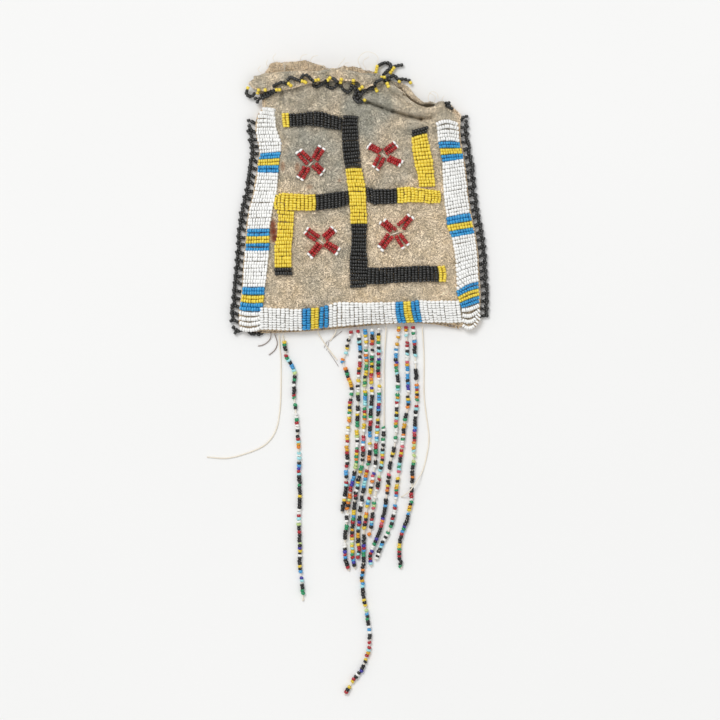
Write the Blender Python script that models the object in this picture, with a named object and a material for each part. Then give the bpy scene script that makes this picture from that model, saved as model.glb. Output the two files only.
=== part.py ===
"""A small flat hide pouch with lane-stitched beadwork, bead edgings and a beaded fringe.

It lies on its back: +X to the right, +Y towards the mouth, +Z up out of the front.
The origin is on the table, in the middle of the back panel. Lengths are in metres.
"""

import math

import bmesh
import bpy
from mathutils import Vector

# Hide
HIDE_THICKNESS = 0.0012
GAP = 0.0003                # between pieces that touch on the real bag
BACK_LENGTH = 0.1353        # from the bottom seam to the back's own edge at the mouth
FRONT_LENGTH = 0.1134       # from the bottom seam to the line where the lip bends
LIP_LENGTH = 0.0166         # from that line to the cuff's fold
LEFT_BASE = 0.0622          # from the middle line to the left edge, at the bottom
LEFT_TOP = 0.0508
LEFT_BULGE = 0.0013         # how far the edge bows out of the straight line
RIGHT_BASE = 0.0603
RIGHT_TOP = 0.0460
RIGHT_BULGE = 0.0035
CORNER_RADIUS = 0.0055
BOTTOM_RISE = 0.0050        # the bottom seam bows up this much,
BOTTOM_PEAK_SHARE = 0.745   # most at this share of the way from left to right,
BOTTOM_RISE_POWER = 2.1     # and hardly at all at the left
POUCH_HEIGHT = 0.0062       # clear height inside, between the panels
RISE_LENGTH = 0.0200        # the front rises to that height over this distance from a seam
PANEL_COLUMNS = 24
PANEL_ROWS = 14
PANEL_ROW_POWER = 1.5       # the rows of a panel lie closer together near the bottom corners

# Mouth: its edges drop on the right, where it flops open. The shares are of BACK_LENGTH, LIP_LENGTH
# and CUFF_DEPTH, evenly spaced from left to right
BACK_EDGE_SHARES = (0.985, 1.0, 1.0, 1.0, 0.985, 0.98, 0.985, 0.985, 0.935, 0.92, 0.86, 0.845, 0.8)
LIP_EDGE_SHARES = (1.0, 1.0, 1.0, 1.0, 1.0, 1.0, 1.0, 1.0, 0.66, 0.31, 0.17, 0.16, 0.15)
FOLD_RIGHT_X = 0.0085       # right end of the cuff's fold
CUFF_DEPTH = 0.0095
CUFF_FLARE = 0.0065         # the cuff spreads to the left past its fold
CUFF_EDGE_SHARES = (0.79, 1.0, 0.79, 0.74, 0.55, 0.48, 0.44, 0.48, 0.6, 0.85, 0.9)

# Beads
BEAD_DIAMETER = 0.0020
BEAD_LENGTH = 0.0013
SIDE_PITCH = 0.00193        # from row to row along the side borders
BOTTOM_PITCH = 0.0022
FIGURE_PITCH = 0.0020
BORDER_BEADS = 9            # beads in a row, at the bottom
BORDER_TOP_BEADS = 8        # and at the top of the side borders
POST_BEADS = 7
BORDER_INSET = 0.0007       # bare hide outside the borders
LANE_SPACE = 0.0005         # bare hide between lanes that meet
VALLEY_SHARE = 0.5          # height between two rows, as a share of a bead
STRIPE_ROWS = 2             # rows of one colour in a stripe of the borders, which has three colours
STRIPE_COLOURS = 3
SIDE_START = 0.0012         # from the bottom seam to the first row
SIDE_TOP_SHARES = {"left": 0.985, "right": 0.925}
SIDE_SLANT = 0.0042         # the most that a row of a side border climbs outwards,
SIDE_SLANT_SHARES = {       # evenly spaced from the bottom to the top
    "left": (0.0, 0.0, 0.0, 0.0),
    "right": (0.2, 0.9, 1.0, 0.85, 0.65, 0.55, 0.5, 0.4, 0.1, 0.0),
}
LEFT_STRIPE_SHARES = (0.135, 0.405, 0.75)
RIGHT_STRIPE_SHARES = (0.145, 0.475, 0.845)
BOTTOM_STRIPE_SHARES = (0.27, 0.73)
CROSS_ARM = 0.0080
CROSS_WIDTH = 0.0038

# Edgings
EDGING_BEAD = 0.0019
PICOT_PITCH = 0.0042
PICOT_DEPTH = 0.0020
PICOT_END_SHARE = 0.94      # of FRONT_LENGTH
SCALLOP_PITCH = 0.0056
SCALLOP_DEPTH = 0.0026
SCALLOP_STEPS = 4
STICK_START = 0.0007        # from the hide's edge to the first of the two yellow beads
STICK_LENGTH = 0.0026
STICK_DIAMETER = 0.0017
EDGING_STEP = 0.0013

# Threads and fringe
THREAD_DIAMETER = 0.0006
STITCH_DIAMETER = 0.0005
STITCH_PITCH = 0.0040
STRAND_DIAMETER = 0.0020
STRAND_STEP = 0.0050        # between the points of a strand
NECK_LENGTH = 0.0015        # bare thread between the seam and a strand's first bead
NECK_POINTS = 2
FIRST_BEAD_SHARE = 0.2      # of the way from the neck to the route's next point
THREAD_STEP = 0.0018
FLOOR_GAP = 0.00005         # what lies on the table stays just clear of it
CROSSING_RISE = 0.0023      # a strand that lies over another is this much higher

# The routes of the fringe, chosen by hand on the photo and given in its pixels
PIXEL = 0.0005
MIDDLE_PX = 361
SEAM_PY = 332.8             # the bottom seam at its left end
FRINGE_ROUTES = {
    "fringe_left": [
        (283, 334), (285, 342), (286, 357), (290, 362), (295, 372), (294, 380), (294, 394), (295, 405),
        (297, 423), (298, 438), (299, 453), (299, 476), (300, 494), (299, 510), (299, 528), (300, 550),
        (300, 568), (302, 581), (303, 600),
    ],
    "fringe_1": [
        (351, 333), (349, 337), (348, 343), (347, 350), (345, 356), (342, 362), (346, 370), (349, 380),
        (352, 389), (351, 396), (350, 405), (349, 419), (348, 427), (347, 437), (347, 461), (346, 475),
        (346, 486), (344, 500), (343, 507), (342, 512),
    ],
    "fringe_2": [
        (358, 333), (359, 338), (360, 350), (360, 363), (358, 378), (358, 391), (358, 408), (357, 425),
        (357, 444), (356, 461), (354, 476), (351, 486), (350, 494), (348, 503), (347, 518), (346, 529),
        (345, 537), (345, 552), (346, 562), (349, 570),
    ],
    "fringe_3": [
        (365, 333), (366, 338), (366, 351), (366, 371), (364.5, 384), (365, 398), (364, 425), (363, 445),
        (363, 460), (360.5, 471), (358, 483), (356, 493), (354, 510), (353, 520), (352, 532), (352, 546),
        (353, 558), (355, 568),
    ],
    "fringe_4": [
        (372, 333), (372, 341), (372, 354), (372, 365), (371, 380), (372, 391), (370.5, 419), (370, 438),
        (370, 444), (369, 461), (366.5, 472), (364.5, 484), (362, 497), (360, 510), (359, 524), (358, 532),
        (358, 543), (359, 551), (358, 558),
    ],
    "fringe_5": [
        (379, 333), (378, 338), (379, 357), (378, 370), (379, 382), (379, 399), (378, 420), (377, 435),
        (376, 447), (375, 466), (373, 476), (371, 488), (368, 501), (366, 516), (364, 530), (364, 543),
        (364, 555), (363, 568), (362, 577), (363, 591), (364, 600), (367, 614), (369, 628), (370, 637),
        (369, 648), (365, 662), (361, 671), (356, 676), (351, 684), (347, 690), (345, 694),
    ],
    "fringe_5_short": [
        (386, 333), (385, 345), (384, 365), (384, 385), (384, 405), (384, 425), (383, 444), (382, 459),
        (380, 471), (378, 484), (375, 497), (373, 512), (371, 527), (369.5, 536),
    ],
    "fringe_6": [
        (399, 331), (398, 337), (396, 349), (396, 364), (398, 382), (397, 403), (396, 421), (396, 435),
        (394, 449), (391, 459), (389, 470), (388, 483), (386, 500), (385, 509), (383, 517), (380, 531),
        (377, 538), (373.5, 545), (370, 553), (371, 566),
    ],
    "fringe_7": [
        (406, 331), (407, 338), (407, 364), (408, 382), (408, 398), (409, 404), (405, 420), (403, 438),
        (402, 448), (400, 461), (398, 477), (396, 495), (394, 512), (392, 523), (387, 534), (382, 544),
        (378, 554), (376, 560),
    ],
    "fringe_8": [
        (413, 331), (414, 337), (415, 354), (416, 375), (417, 398), (415, 422), (414, 445), (413, 465),
        (412, 482), (411, 502), (407, 519), (403, 530), (400, 540), (399, 554), (401, 568),
    ],
}
TAIL_ROUTES = {
    "left_thread_tail": [
        (279, 335), (280, 348), (281, 362), (281, 386), (280, 409), (276, 430), (266, 444), (250, 452),
        (228, 458), (207, 457),
    ],
    "right_thread_tail": [
        (422, 331), (424, 357), (424, 392), (426, 413), (429, 437), (427, 454), (423, 470), (417, 480),
        (412, 488), (406, 494), (401, 497),
    ],
    "brown_thread_end_1": [(271, 336), (266, 340), (258, 346)],
    "brown_thread_end_2": [(275, 336), (275, 343), (269, 355)],
    "pale_thread_end_1": [(318, 335), (323, 341), (330, 351), (337, 360)],
    "pale_thread_end_2": [(336, 334), (333, 337), (330, 341)],
}
RIGHT_TAIL_OVER = (7, 10)   # these points of the right tail lie over fringe_8

# The bead edging at the right of the mouth: shares across the body, from -1 at the left seam to 1 at the
# right seam, and up it, of BACK_LENGTH for the back's edge and of FRONT_LENGTH for the lip's right end
BACK_MOUTH_SHARES = [
    (0.245, 0.971), (0.275, 0.990), (0.349, 1.003), (0.424, 0.993), (0.447, 0.971), (0.500, 0.986),
    (0.554, 0.982), (0.553, 0.960), (0.519, 0.938), (0.570, 0.931), (0.618, 0.938),
]
MOUTH_CORNER_SHARES = [(0.927, 1.035), (0.982, 1.040), (1.026, 1.026), (1.031, 1.0)]

# Where the figure and the crosses lie on the front: shares across it, from -1 at the left seam to 1 at
# the right seam, and up it, from 0 at the bottom seam to 1 at the line where the lip bends
POST_TOP_SHARES = (-0.09, 0.951)
POST_FOOT_SHARES = (-0.012, 0.188)
POST_COLOUR_SHARES = (0.306, 0.618)
BRANCH_LANES = {
    # name: parent lane, beads in a row, colours
    "figure_top_arm": ("figure_post", 6, ("black", "yellow")),
    "figure_left_arm": ("figure_post", 7, ("black", "yellow")),
    "figure_left_drop": ("figure_left_arm", 7, ("yellow", "black")),
    "figure_right_arm": ("figure_post", 6, ("black", "yellow")),
    "figure_right_rise": ("figure_right_arm", 6, ("yellow", "black")),
    "figure_foot_arm": ("figure_post", 7, ("black", "yellow")),
}
BRANCH_SHARES = {
    # name: start along the parent lane, place of the tip on the front, where the colour changes
    "figure_top_arm": (0.045, (-0.75, 0.937), 0.87),
    "figure_left_arm": (0.485, (-0.735, 0.576), 0.44),
    "figure_left_drop": (0.865, (-0.622, 0.253), 0.87),
    "figure_right_arm": (0.465, (0.698, 0.596), 0.42),
    "figure_right_rise": (0.825, (0.619, 0.906), 0.83),
    "figure_foot_arm": (0.925, (0.729, 0.246), 0.89),
}
CROSS_SHARES = {
    "red_cross_upper_left": (-0.44, 0.744),
    "red_cross_upper_right": (0.244, 0.774),
    "red_cross_lower_left": (-0.33, 0.397),
    "red_cross_lower_right": (0.317, 0.434),
}
CROSS_TURN_DEGREES = {
    "red_cross_upper_left": 53,
    "red_cross_upper_right": 56,
    "red_cross_lower_left": 51,
    "red_cross_lower_right": 48,
}

COLOURS = {
    "hide": ("#BBAA8A", 0.95),
    "white": ("#F2F1EC", 0.35),
    "blue": ("#2F7FC4", 0.35),
    "yellow": ("#E6C93A", 0.35),
    "black": ("#1E1E1E", 0.25),
    "red": ("#9C2730", 0.30),
    "thread": ("#D9CDB4", 0.9),
    "brown_thread": ("#6E5138", 0.9),
    "fringe": ("#4A3B38", 0.4),
}

BOTTOM_Y = -BACK_LENGTH / 2
BEND_Y = BOTTOM_Y + FRONT_LENGTH
FOLD_Y = BEND_Y + LIP_LENGTH
SEAM_Z = HIDE_THICKNESS + GAP
SEAM_MIDDLE_Z = SEAM_Z - GAP / 2
BORDER_WIDTH = BORDER_BEADS * BEAD_LENGTH


def clear_scene():
    for old in list(bpy.data.objects):
        bpy.data.objects.remove(old, do_unlink=True)


def material(colour):
    """One Principled material for each colour, made when it is first asked for."""
    if colour in bpy.data.materials:
        return bpy.data.materials[colour]
    code, roughness = COLOURS[colour]
    made = bpy.data.materials.new(colour)
    made.use_nodes = True
    shader = made.node_tree.nodes["Principled BSDF"]
    channels = [int(code[i:i + 2], 16) / 255 for i in (1, 3, 5)]
    linear = [c / 12.92 if c <= 0.04045 else ((c + 0.055) / 1.055) ** 2.4 for c in channels]
    shader.inputs["Base Color"].default_value = (*linear, 1)
    shader.inputs["Roughness"].default_value = roughness
    return made


def add_object(name, data, colours):
    obj = bpy.data.objects.new(name, data)
    bpy.context.scene.collection.objects.link(obj)
    for colour in colours:
        data.materials.append(material(colour))
    return obj


def mix(a, b, share):
    return a + (b - a) * share


def along_table(values, share):
    """Reads a short table of evenly spaced values at a share from 0 to 1, with soft steps."""
    place = min(max(share, 0), 1) * (len(values) - 1)
    index = min(int(place), len(values) - 2)
    step = place - index
    return mix(values[index], values[index + 1], step * step * (3 - 2 * step))


# The body's outline and the height of its front
def corner_cut(up):
    """How far the rounded bottom corner draws the side in, at a height above the bottom seam."""
    left = max(CORNER_RADIUS - max(up, 0), 0)
    return CORNER_RADIUS - math.sqrt(CORNER_RADIUS ** 2 - left ** 2)


def side_width(base, top, bulge, up):
    share = up / FRONT_LENGTH
    return mix(base, top, share) + bulge * 4 * share * (1 - share) - corner_cut(up)


def left_x(up):
    return -side_width(LEFT_BASE, LEFT_TOP, LEFT_BULGE, up)


def right_x(up):
    return side_width(RIGHT_BASE, RIGHT_TOP, RIGHT_BULGE, up)


def climb(across, up):
    """The bottom seam's bow, which fades out towards the mouth."""
    reach = (max(across + 1, 0) / 2 / BOTTOM_PEAK_SHARE) ** BOTTOM_RISE_POWER
    return BOTTOM_RISE * math.sin(math.pi / 2 * reach) * max(1 - up / FRONT_LENGTH, 0)


def body_point(across, up):
    """The place at a share across (-1 to 1) and a distance up from the bottom seam."""
    x = mix(left_x(up), right_x(up), (across + 1) / 2)
    return Vector((x, BOTTOM_Y + up + climb(across, up), 0))


def rise(distance):
    return math.sin(math.pi / 2 * min(max(distance / RISE_LENGTH, 0), 1))


def front_inside(x, y):
    """Height of the front's inner face above the table."""
    up = y - BOTTOM_Y
    for _ in range(5):
        across = 2 * (x - left_x(up)) / (right_x(up) - left_x(up)) - 1
        up = y - BOTTOM_Y - climb(across, up)
    from_side = min(x - left_x(up), right_x(up) - x)
    return SEAM_Z + POUCH_HEIGHT * rise(from_side) * rise(up)


def front_outside(x, y):
    return front_inside(x, y) + HIDE_THICKNESS


def sheet_solid(name, columns, rows, top_at, bottom_at, colours, colour_at=None):
    """A closed sheet: a grid laid on top_at(u, v), extruded and laid on bottom_at(u, v)."""
    bm = bmesh.new()
    bmesh.ops.create_grid(bm, x_segments=columns, y_segments=rows, size=1)
    if colour_at:
        for face in bm.faces:
            face.material_index = colour_at(face.calc_center_median().y / 2 + 0.5)
    top = list(bm.verts)
    places = {vert: (vert.co.x / 2 + 0.5, vert.co.y / 2 + 0.5) for vert in top}
    extruded = bmesh.ops.extrude_face_region(bm, geom=list(bm.faces), use_keep_orig=True)
    bottom = [item for item in extruded["geom"] if isinstance(item, bmesh.types.BMVert)]
    for vert in bottom:
        vert.co = bottom_at(vert.co.x / 2 + 0.5, vert.co.y / 2 + 0.5)
    for vert in top:
        vert.co = top_at(*places[vert])
    bmesh.ops.recalc_face_normals(bm, faces=bm.faces)
    mesh = bpy.data.meshes.new(name)
    bm.to_mesh(mesh)
    bm.free()
    mesh.shade_smooth()
    mesh.set_sharp_from_angle(angle=math.radians(40))
    return add_object(name, mesh, colours)


# Hide pieces
def add_back_panel():
    def bottom(u, v):
        length = BACK_LENGTH * along_table(BACK_EDGE_SHARES, u)
        return body_point(2 * u - 1, length * v ** PANEL_ROW_POWER)

    def top(u, v):
        return bottom(u, v) + Vector((0, 0, HIDE_THICKNESS))

    return sheet_solid("back_panel", PANEL_COLUMNS, PANEL_ROWS, top, bottom, ["hide"])


def add_front_panel():
    def place(u, v):
        return body_point(2 * u - 1, (FRONT_LENGTH - GAP / 2) * v ** PANEL_ROW_POWER)

    def top(u, v):
        spot = place(u, v)
        return Vector((spot.x, spot.y, front_outside(spot.x, spot.y)))

    def bottom(u, v):
        spot = place(u, v)
        return Vector((spot.x, spot.y, front_inside(spot.x, spot.y)))

    return sheet_solid("front_panel", PANEL_COLUMNS, PANEL_ROWS, top, bottom, ["hide"])


def add_front_lip():
    def place(u, v):
        length = LIP_LENGTH * along_table(LIP_EDGE_SHARES, u)
        return body_point(2 * u - 1, FRONT_LENGTH + mix(GAP / 2, length, v))

    def top(u, v):
        spot = place(u, v)
        return Vector((spot.x, spot.y, front_outside(spot.x, spot.y)))

    def bottom(u, v):
        spot = place(u, v)
        return Vector((spot.x, spot.y, front_inside(spot.x, spot.y)))

    return sheet_solid("front_lip", PANEL_COLUMNS, 4, top, bottom, ["hide"])


def cuff_place(u, v):
    """A place on the cuff: u from its left to its right end, v from the fold to the free edge."""
    fold_left = left_x(FRONT_LENGTH + LIP_LENGTH)
    x = mix(fold_left - CUFF_FLARE * v, FOLD_RIGHT_X, u)
    depth = CUFF_DEPTH * along_table(CUFF_EDGE_SHARES, u)
    return Vector((x, FOLD_Y - depth * v, 0))


def cuff_outside(x, y):
    return front_outside(x, y) + GAP + HIDE_THICKNESS


def add_mouth_cuff():
    def top(u, v):
        spot = cuff_place(u, v)
        return Vector((spot.x, spot.y, cuff_outside(spot.x, spot.y)))

    def bottom(u, v):
        spot = cuff_place(u, v)
        return Vector((spot.x, spot.y, front_outside(spot.x, spot.y) + GAP))

    return sheet_solid("mouth_cuff", 20, 3, top, bottom, ["hide"])


# Lanes of beads
def add_lane(name, rows, place_at, colours, colour_at=None):
    """Rows of beads side by side. place_at(u, v) is a place in plan: u along a row, v from row to row."""
    def under(u, v):
        spot = place_at(u, v)
        return Vector((spot.x, spot.y, front_outside(spot.x, spot.y) + GAP))

    def over(u, v):
        step = round(v * 2 * rows)
        height = BEAD_DIAMETER * (1 if step % 2 else VALLEY_SHARE)
        return under(u, v) + Vector((0, 0, height))

    return sheet_solid(name, 2, 2 * rows, over, under, colours, colour_at)


def stripe_colour(rows, stripe_shares):
    """Blue, yellow and blue stripes round each share of a border's length, white between them."""
    def colour_at(v):
        row = min(int(v * rows), rows - 1)
        for share in stripe_shares:
            offset = row - round(share * rows) + STRIPE_COLOURS * STRIPE_ROWS // 2
            if 0 <= offset < STRIPE_COLOURS * STRIPE_ROWS:
                return 2 if offset // STRIPE_ROWS == 1 else 1
        return 0

    return colour_at


def add_side_border(side, stripe_shares):
    edge = left_x if side == "left" else right_x
    inwards = 1 if side == "left" else -1
    across = -1 if side == "left" else 1
    last = FRONT_LENGTH * SIDE_TOP_SHARES[side]
    rows = round((last - SIDE_START) / SIDE_PITCH)

    def place_at(u, v):
        slant = SIDE_SLANT * along_table(SIDE_SLANT_SHARES[side], v)
        up = mix(SIDE_START, last, v) + slant * (1 - u)
        from_edge = BORDER_INSET + mix(BORDER_WIDTH, BORDER_TOP_BEADS * BEAD_LENGTH, v) * u
        outline = edge(max(up, CORNER_RADIUS / 2))
        return Vector((outline + inwards * from_edge, BOTTOM_Y + up + climb(across, up), 0))

    name = side + "_border_beads"
    return add_lane(name, rows, place_at, ["white", "blue", "yellow"], stripe_colour(rows, stripe_shares))


def add_bottom_border():
    top = BORDER_INSET + BORDER_WIDTH + BOTTOM_RISE
    start = left_x(top) + BORDER_INSET + BORDER_WIDTH + LANE_SPACE
    end = right_x(top) - BORDER_INSET - BORDER_WIDTH - LANE_SPACE
    rows = round((end - start) / BOTTOM_PITCH)

    def place_at(u, v):
        x = mix(start, end, v)
        across = 2 * (x - left_x(0)) / (right_x(0) - left_x(0)) - 1
        up = BORDER_INSET + BORDER_WIDTH * u
        return Vector((x, BOTTOM_Y + up + climb(across, up), 0))

    colours = stripe_colour(rows, BOTTOM_STRIPE_SHARES)
    return add_lane("bottom_border_beads", rows, place_at, ["white", "blue", "yellow"], colours)


def front_place(shares):
    return body_point(shares[0], shares[1] * FRONT_LENGTH)


def add_figure_lane(name, start, end, beads, colours, colour_shares):
    """A straight lane between two places. Returns its ends and half its width, for its branches."""
    along = (end - start).normalized()
    half = beads * BEAD_LENGTH / 2
    aside = Vector((along.y, -along.x, 0)) * half
    rows = round((end - start).length / FIGURE_PITCH)

    def place_at(u, v):
        return start.lerp(end, v) + aside * (2 * u - 1)

    def colour_at(v):
        return sum(v > share for share in colour_shares)

    add_lane(name, rows, place_at, colours, colour_at)
    return start, end, half


def add_figure():
    """The post, and the arms and ends that branch off it."""
    top = front_place(POST_TOP_SHARES)
    foot = front_place(POST_FOOT_SHARES)
    colours = ["black", "yellow", "black"]
    post = add_figure_lane("figure_post", top, foot, POST_BEADS, colours, POST_COLOUR_SHARES)
    lanes = {"figure_post": post}
    for name, (parent, beads, colours) in BRANCH_LANES.items():
        start_share, tip_shares, colour_share = BRANCH_SHARES[name]
        parent_start, parent_end, parent_half = lanes[parent]
        start = parent_start.lerp(parent_end, start_share)
        tip = front_place(tip_shares)
        along = (tip - start).normalized()
        lean = abs(along.dot((parent_end - parent_start).normalized()))
        start += along * (parent_half + LANE_SPACE + beads * BEAD_LENGTH / 2 * lean)
        lanes[name] = add_figure_lane(name, start, tip, beads, colours, (colour_share,))


def add_cross(name, shares):
    """Two pairs of bead rows sewn across each other, as one flat cross with a white tip on each arm."""
    centre = front_place(shares)
    half = CROSS_WIDTH / 2
    tip = CROSS_ARM - BEAD_LENGTH
    bm = bmesh.new()
    under = [
        bm.verts.new(Vector((math.copysign(half, a), math.copysign(half, b), 0)))
        for a, b in ((1, 1), (-1, 1), (-1, -1), (1, -1))
    ]
    core = bm.faces.new(under)
    for edge in list(core.edges):
        outward = (edge.verts[0].co + edge.verts[1].co).normalized()
        for length, colour in ((tip - half, 0), (BEAD_LENGTH, 1)):
            made = bmesh.ops.extrude_edge_only(bm, edges=[edge])["geom"]
            for vert in [item for item in made if isinstance(item, bmesh.types.BMVert)]:
                vert.co += outward * length
            for face in [item for item in made if isinstance(item, bmesh.types.BMFace)]:
                face.material_index = colour
            edge = next(
                item for item in made
                if isinstance(item, bmesh.types.BMEdge) and all(v in made for v in item.verts)
            )
    top = bmesh.ops.extrude_face_region(bm, geom=list(bm.faces), use_keep_orig=True)["geom"]
    raised = {item for item in top if isinstance(item, bmesh.types.BMVert)}
    turn = math.radians(CROSS_TURN_DEGREES[name])
    for vert in bm.verts:
        x, y = vert.co.x, vert.co.y
        vert.co.x = centre.x + x * math.cos(turn) - y * math.sin(turn)
        vert.co.y = centre.y + x * math.sin(turn) + y * math.cos(turn)
        vert.co.z = front_outside(vert.co.x, vert.co.y) + GAP
        if vert in raised:
            vert.co.z += BEAD_DIAMETER
    bmesh.ops.recalc_face_normals(bm, faces=bm.faces)
    mesh = bpy.data.meshes.new(name)
    bm.to_mesh(mesh)
    bm.free()
    return add_object(name, mesh, ["red", "white"])


# Tubes
def smooth_route(points, step):
    """Points about one step apart on a smooth curve through the given ones."""
    ends = [points[0] * 2 - points[1], *points, points[-1] * 2 - points[-2]]
    fine = []
    for before, a, b, after in zip(ends, ends[1:], ends[2:], ends[3:]):
        for k in range(12):
            s = k / 12
            fine.append((
                a * 2 + (b - before) * s + (before * 2 - a * 5 + b * 4 - after) * s ** 2
                + (a * 3 - b * 3 + after - before) * s ** 3
            ) / 2)
    fine.append(points[-1])
    lengths = [0]
    for a, b in zip(fine, fine[1:]):
        lengths.append(lengths[-1] + (b - a).length)
    count = max(round(lengths[-1] / step), 2)
    spaced = []
    index = 0
    for k in range(count + 1):
        wanted = lengths[-1] * k / count
        while index < len(fine) - 2 and lengths[index + 1] < wanted:
            index += 1
        share = (wanted - lengths[index]) / (lengths[index + 1] - lengths[index])
        spaced.append(fine[index].lerp(fine[index + 1], share))
    return spaced


def add_tube(name, points, diameter, colour, sides=2, neck=None):
    """A round tube through the points. A neck gives its first points a smaller diameter."""
    curve = bpy.data.curves.new(name, "CURVE")
    curve.dimensions = "3D"
    curve.bevel_depth = diameter / 2
    curve.bevel_resolution = sides
    curve.use_fill_caps = True
    spline = curve.splines.new("POLY")
    spline.points.add(len(points) - 1)
    for index, (point, place) in enumerate(zip(spline.points, points)):
        point.co = (*place, 1)
        point.radius = neck / diameter if neck and index < NECK_POINTS else 1
    spline.use_smooth = True
    return add_object(name, curve, [colour])


def as_mesh(tube):
    """The same tube as a mesh object, which a Boolean can join to others."""
    bpy.context.view_layer.update()
    mesh = bpy.data.meshes.new_from_object(tube)
    name = tube.name
    bpy.data.objects.remove(tube, do_unlink=True)
    return add_object(name, mesh, [])


def photo_point(pixel, height):
    return Vector(((pixel[0] - MIDDLE_PX) * PIXEL, BOTTOM_Y + (SEAM_PY - pixel[1]) * PIXEL, height))


def seam_root(x):
    """Where a thread comes out of the bottom seam, just clear of the stitches."""
    across = 2 * (x - left_x(0)) / (right_x(0) - left_x(0)) - 1
    out = 2 * GAP + STITCH_DIAMETER + THREAD_DIAMETER / 2
    return Vector((x, BOTTOM_Y + climb(across, 0) - out, SEAM_MIDDLE_Z))


def add_fringe():
    """Beaded strands, each on a bare neck of thread that it swings by."""
    lying = STRAND_DIAMETER / 2 + FLOOR_GAP
    for name, route in FRINGE_ROUTES.items():
        root = seam_root(photo_point(route[0], 0).x)
        neck_end = root - Vector((0, NECK_LENGTH, 0))
        points = [photo_point(pixel, lying) for pixel in route[1:]]
        first_bead = neck_end.lerp(points[0], FIRST_BEAD_SHARE)
        route_points = smooth_route([first_bead, *points], STRAND_STEP)
        tube = [root, neck_end, *route_points]
        add_tube(name, tube, STRAND_DIAMETER, "fringe", neck=THREAD_DIAMETER)


def add_tails():
    lying = THREAD_DIAMETER / 2 + FLOOR_GAP
    for name, route in TAIL_ROUTES.items():
        points = [photo_point(pixel, lying) for pixel in route]
        points[0] = seam_root(points[0].x)
        if name == "right_thread_tail":
            for point in points[RIGHT_TAIL_OVER[0]:RIGHT_TAIL_OVER[1]]:
                point.z += CROSSING_RISE
        colour = "brown_thread" if name.startswith("brown") else "thread"
        add_tube(name, smooth_route(points, THREAD_STEP), THREAD_DIAMETER, colour)


# Stitches and edgings
def add_bottom_stitching():
    """One thread up and down the edges of both hides, just outside the bottom seam."""
    start = left_x(0)
    end = right_x(0)
    count = round((end - start) / STITCH_PITCH)
    outside = GAP + STITCH_DIAMETER / 2
    low = STITCH_DIAMETER / 2 + GAP
    high = SEAM_Z + HIDE_THICKNESS - STITCH_DIAMETER / 2 - GAP
    points = []
    for k in range(2 * count + 1):
        across = mix(-1, 1, k / (2 * count))
        x = mix(start, end, k / (2 * count))
        points.append(Vector((x, BOTTOM_Y + climb(across, 0) - outside, high if k % 2 else low)))
    add_tube("bottom_seam_stitching", points, STITCH_DIAMETER, "thread", 1)


def add_picot_edging(side):
    """Black beads that run in and out along a side seam."""
    edge = left_x if side == "left" else right_x
    outwards = -1 if side == "left" else 1
    across = outwards
    first_up = CORNER_RADIUS
    last_up = FRONT_LENGTH * PICOT_END_SHARE
    count = round((last_up - first_up) / PICOT_PITCH)
    inner = GAP + EDGING_BEAD / 2
    points = []
    for k in range(2 * count + 1):
        up = mix(first_up, last_up, k / (2 * count))
        out = inner + (PICOT_DEPTH if k % 2 else 0)
        x = edge(up) + outwards * out
        points.append(Vector((x, BOTTOM_Y + up + climb(across, up), SEAM_MIDDLE_Z)))
    add_tube(side + "_edging", points, EDGING_BEAD, "black", 1)


def add_mouth_tubes():
    """Bead edging at the right of the mouth: on the back hide's edge, and at the lip's right end."""
    routes = {
        "back_mouth_edging": (BACK_MOUTH_SHARES, BACK_LENGTH),
        "mouth_corner_beads": (MOUTH_CORNER_SHARES, FRONT_LENGTH),
    }
    height = Vector((0, 0, HIDE_THICKNESS + GAP + EDGING_BEAD / 2))
    for name, (shares, length) in routes.items():
        points = [body_point(across, up * length) + height for across, up in shares]
        add_tube(name, smooth_route(points, EDGING_STEP), EDGING_BEAD, "black", 1)


def cuff_edge_point(u, out):
    """A bead's place at a distance out from the cuff's free edge, on the hide below."""
    spot = cuff_place(u, 1) - Vector((0, out, 0))
    spot.z = front_outside(spot.x, spot.y) + GAP + EDGING_BEAD / 2
    return spot


def add_cuff_edging():
    """Black scallops along the cuff's edge, each end held by a stick of two yellow beads."""
    length = cuff_place(1, 1).x - cuff_place(0, 1).x
    steps = SCALLOP_STEPS * round(length / SCALLOP_PITCH)
    sticks = []
    points = []
    for k in range(steps + 1):
        dip = SCALLOP_DEPTH * math.sin(math.pi * (k % SCALLOP_STEPS) / SCALLOP_STEPS)
        points.append(cuff_edge_point(k / steps, STICK_START + STICK_LENGTH + dip))
        if k % SCALLOP_STEPS == 0:
            start = cuff_edge_point(k / steps, STICK_START)
            stick = add_tube(f"stick_{k}", [start, points[-1]], STICK_DIAMETER, "yellow", 1)
            sticks.append(as_mesh(stick))
    loops = as_mesh(add_tube("cuff_edging", points, EDGING_BEAD, "black", 1))
    join_sticks(loops, sticks)


def join_sticks(target, sticks):
    """Joins the yellow sticks to the black loops as one body."""
    group = bpy.data.collections.new(target.name + "_sticks")
    bpy.context.scene.collection.children.link(group)
    for stick in sticks:
        bpy.context.scene.collection.objects.unlink(stick)
        group.objects.link(stick)
        stick.hide_render = True
        stick.display_type = "WIRE"
    joined = target.modifiers.new("sticks", "BOOLEAN")
    joined.operation = "UNION"
    joined.operand_type = "COLLECTION"
    joined.collection = group
    joined.solver = "EXACT"
    joined.material_mode = "TRANSFER"


def main():
    clear_scene()
    add_back_panel()
    add_front_panel()
    add_front_lip()
    add_mouth_cuff()
    add_side_border("left", LEFT_STRIPE_SHARES)
    add_side_border("right", RIGHT_STRIPE_SHARES)
    add_bottom_border()
    add_figure()
    for name, shares in CROSS_SHARES.items():
        add_cross(name, shares)
    add_bottom_stitching()
    add_picot_edging("left")
    add_picot_edging("right")
    add_cuff_edging()
    add_mouth_tubes()
    add_fringe()
    add_tails()


main()
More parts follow.
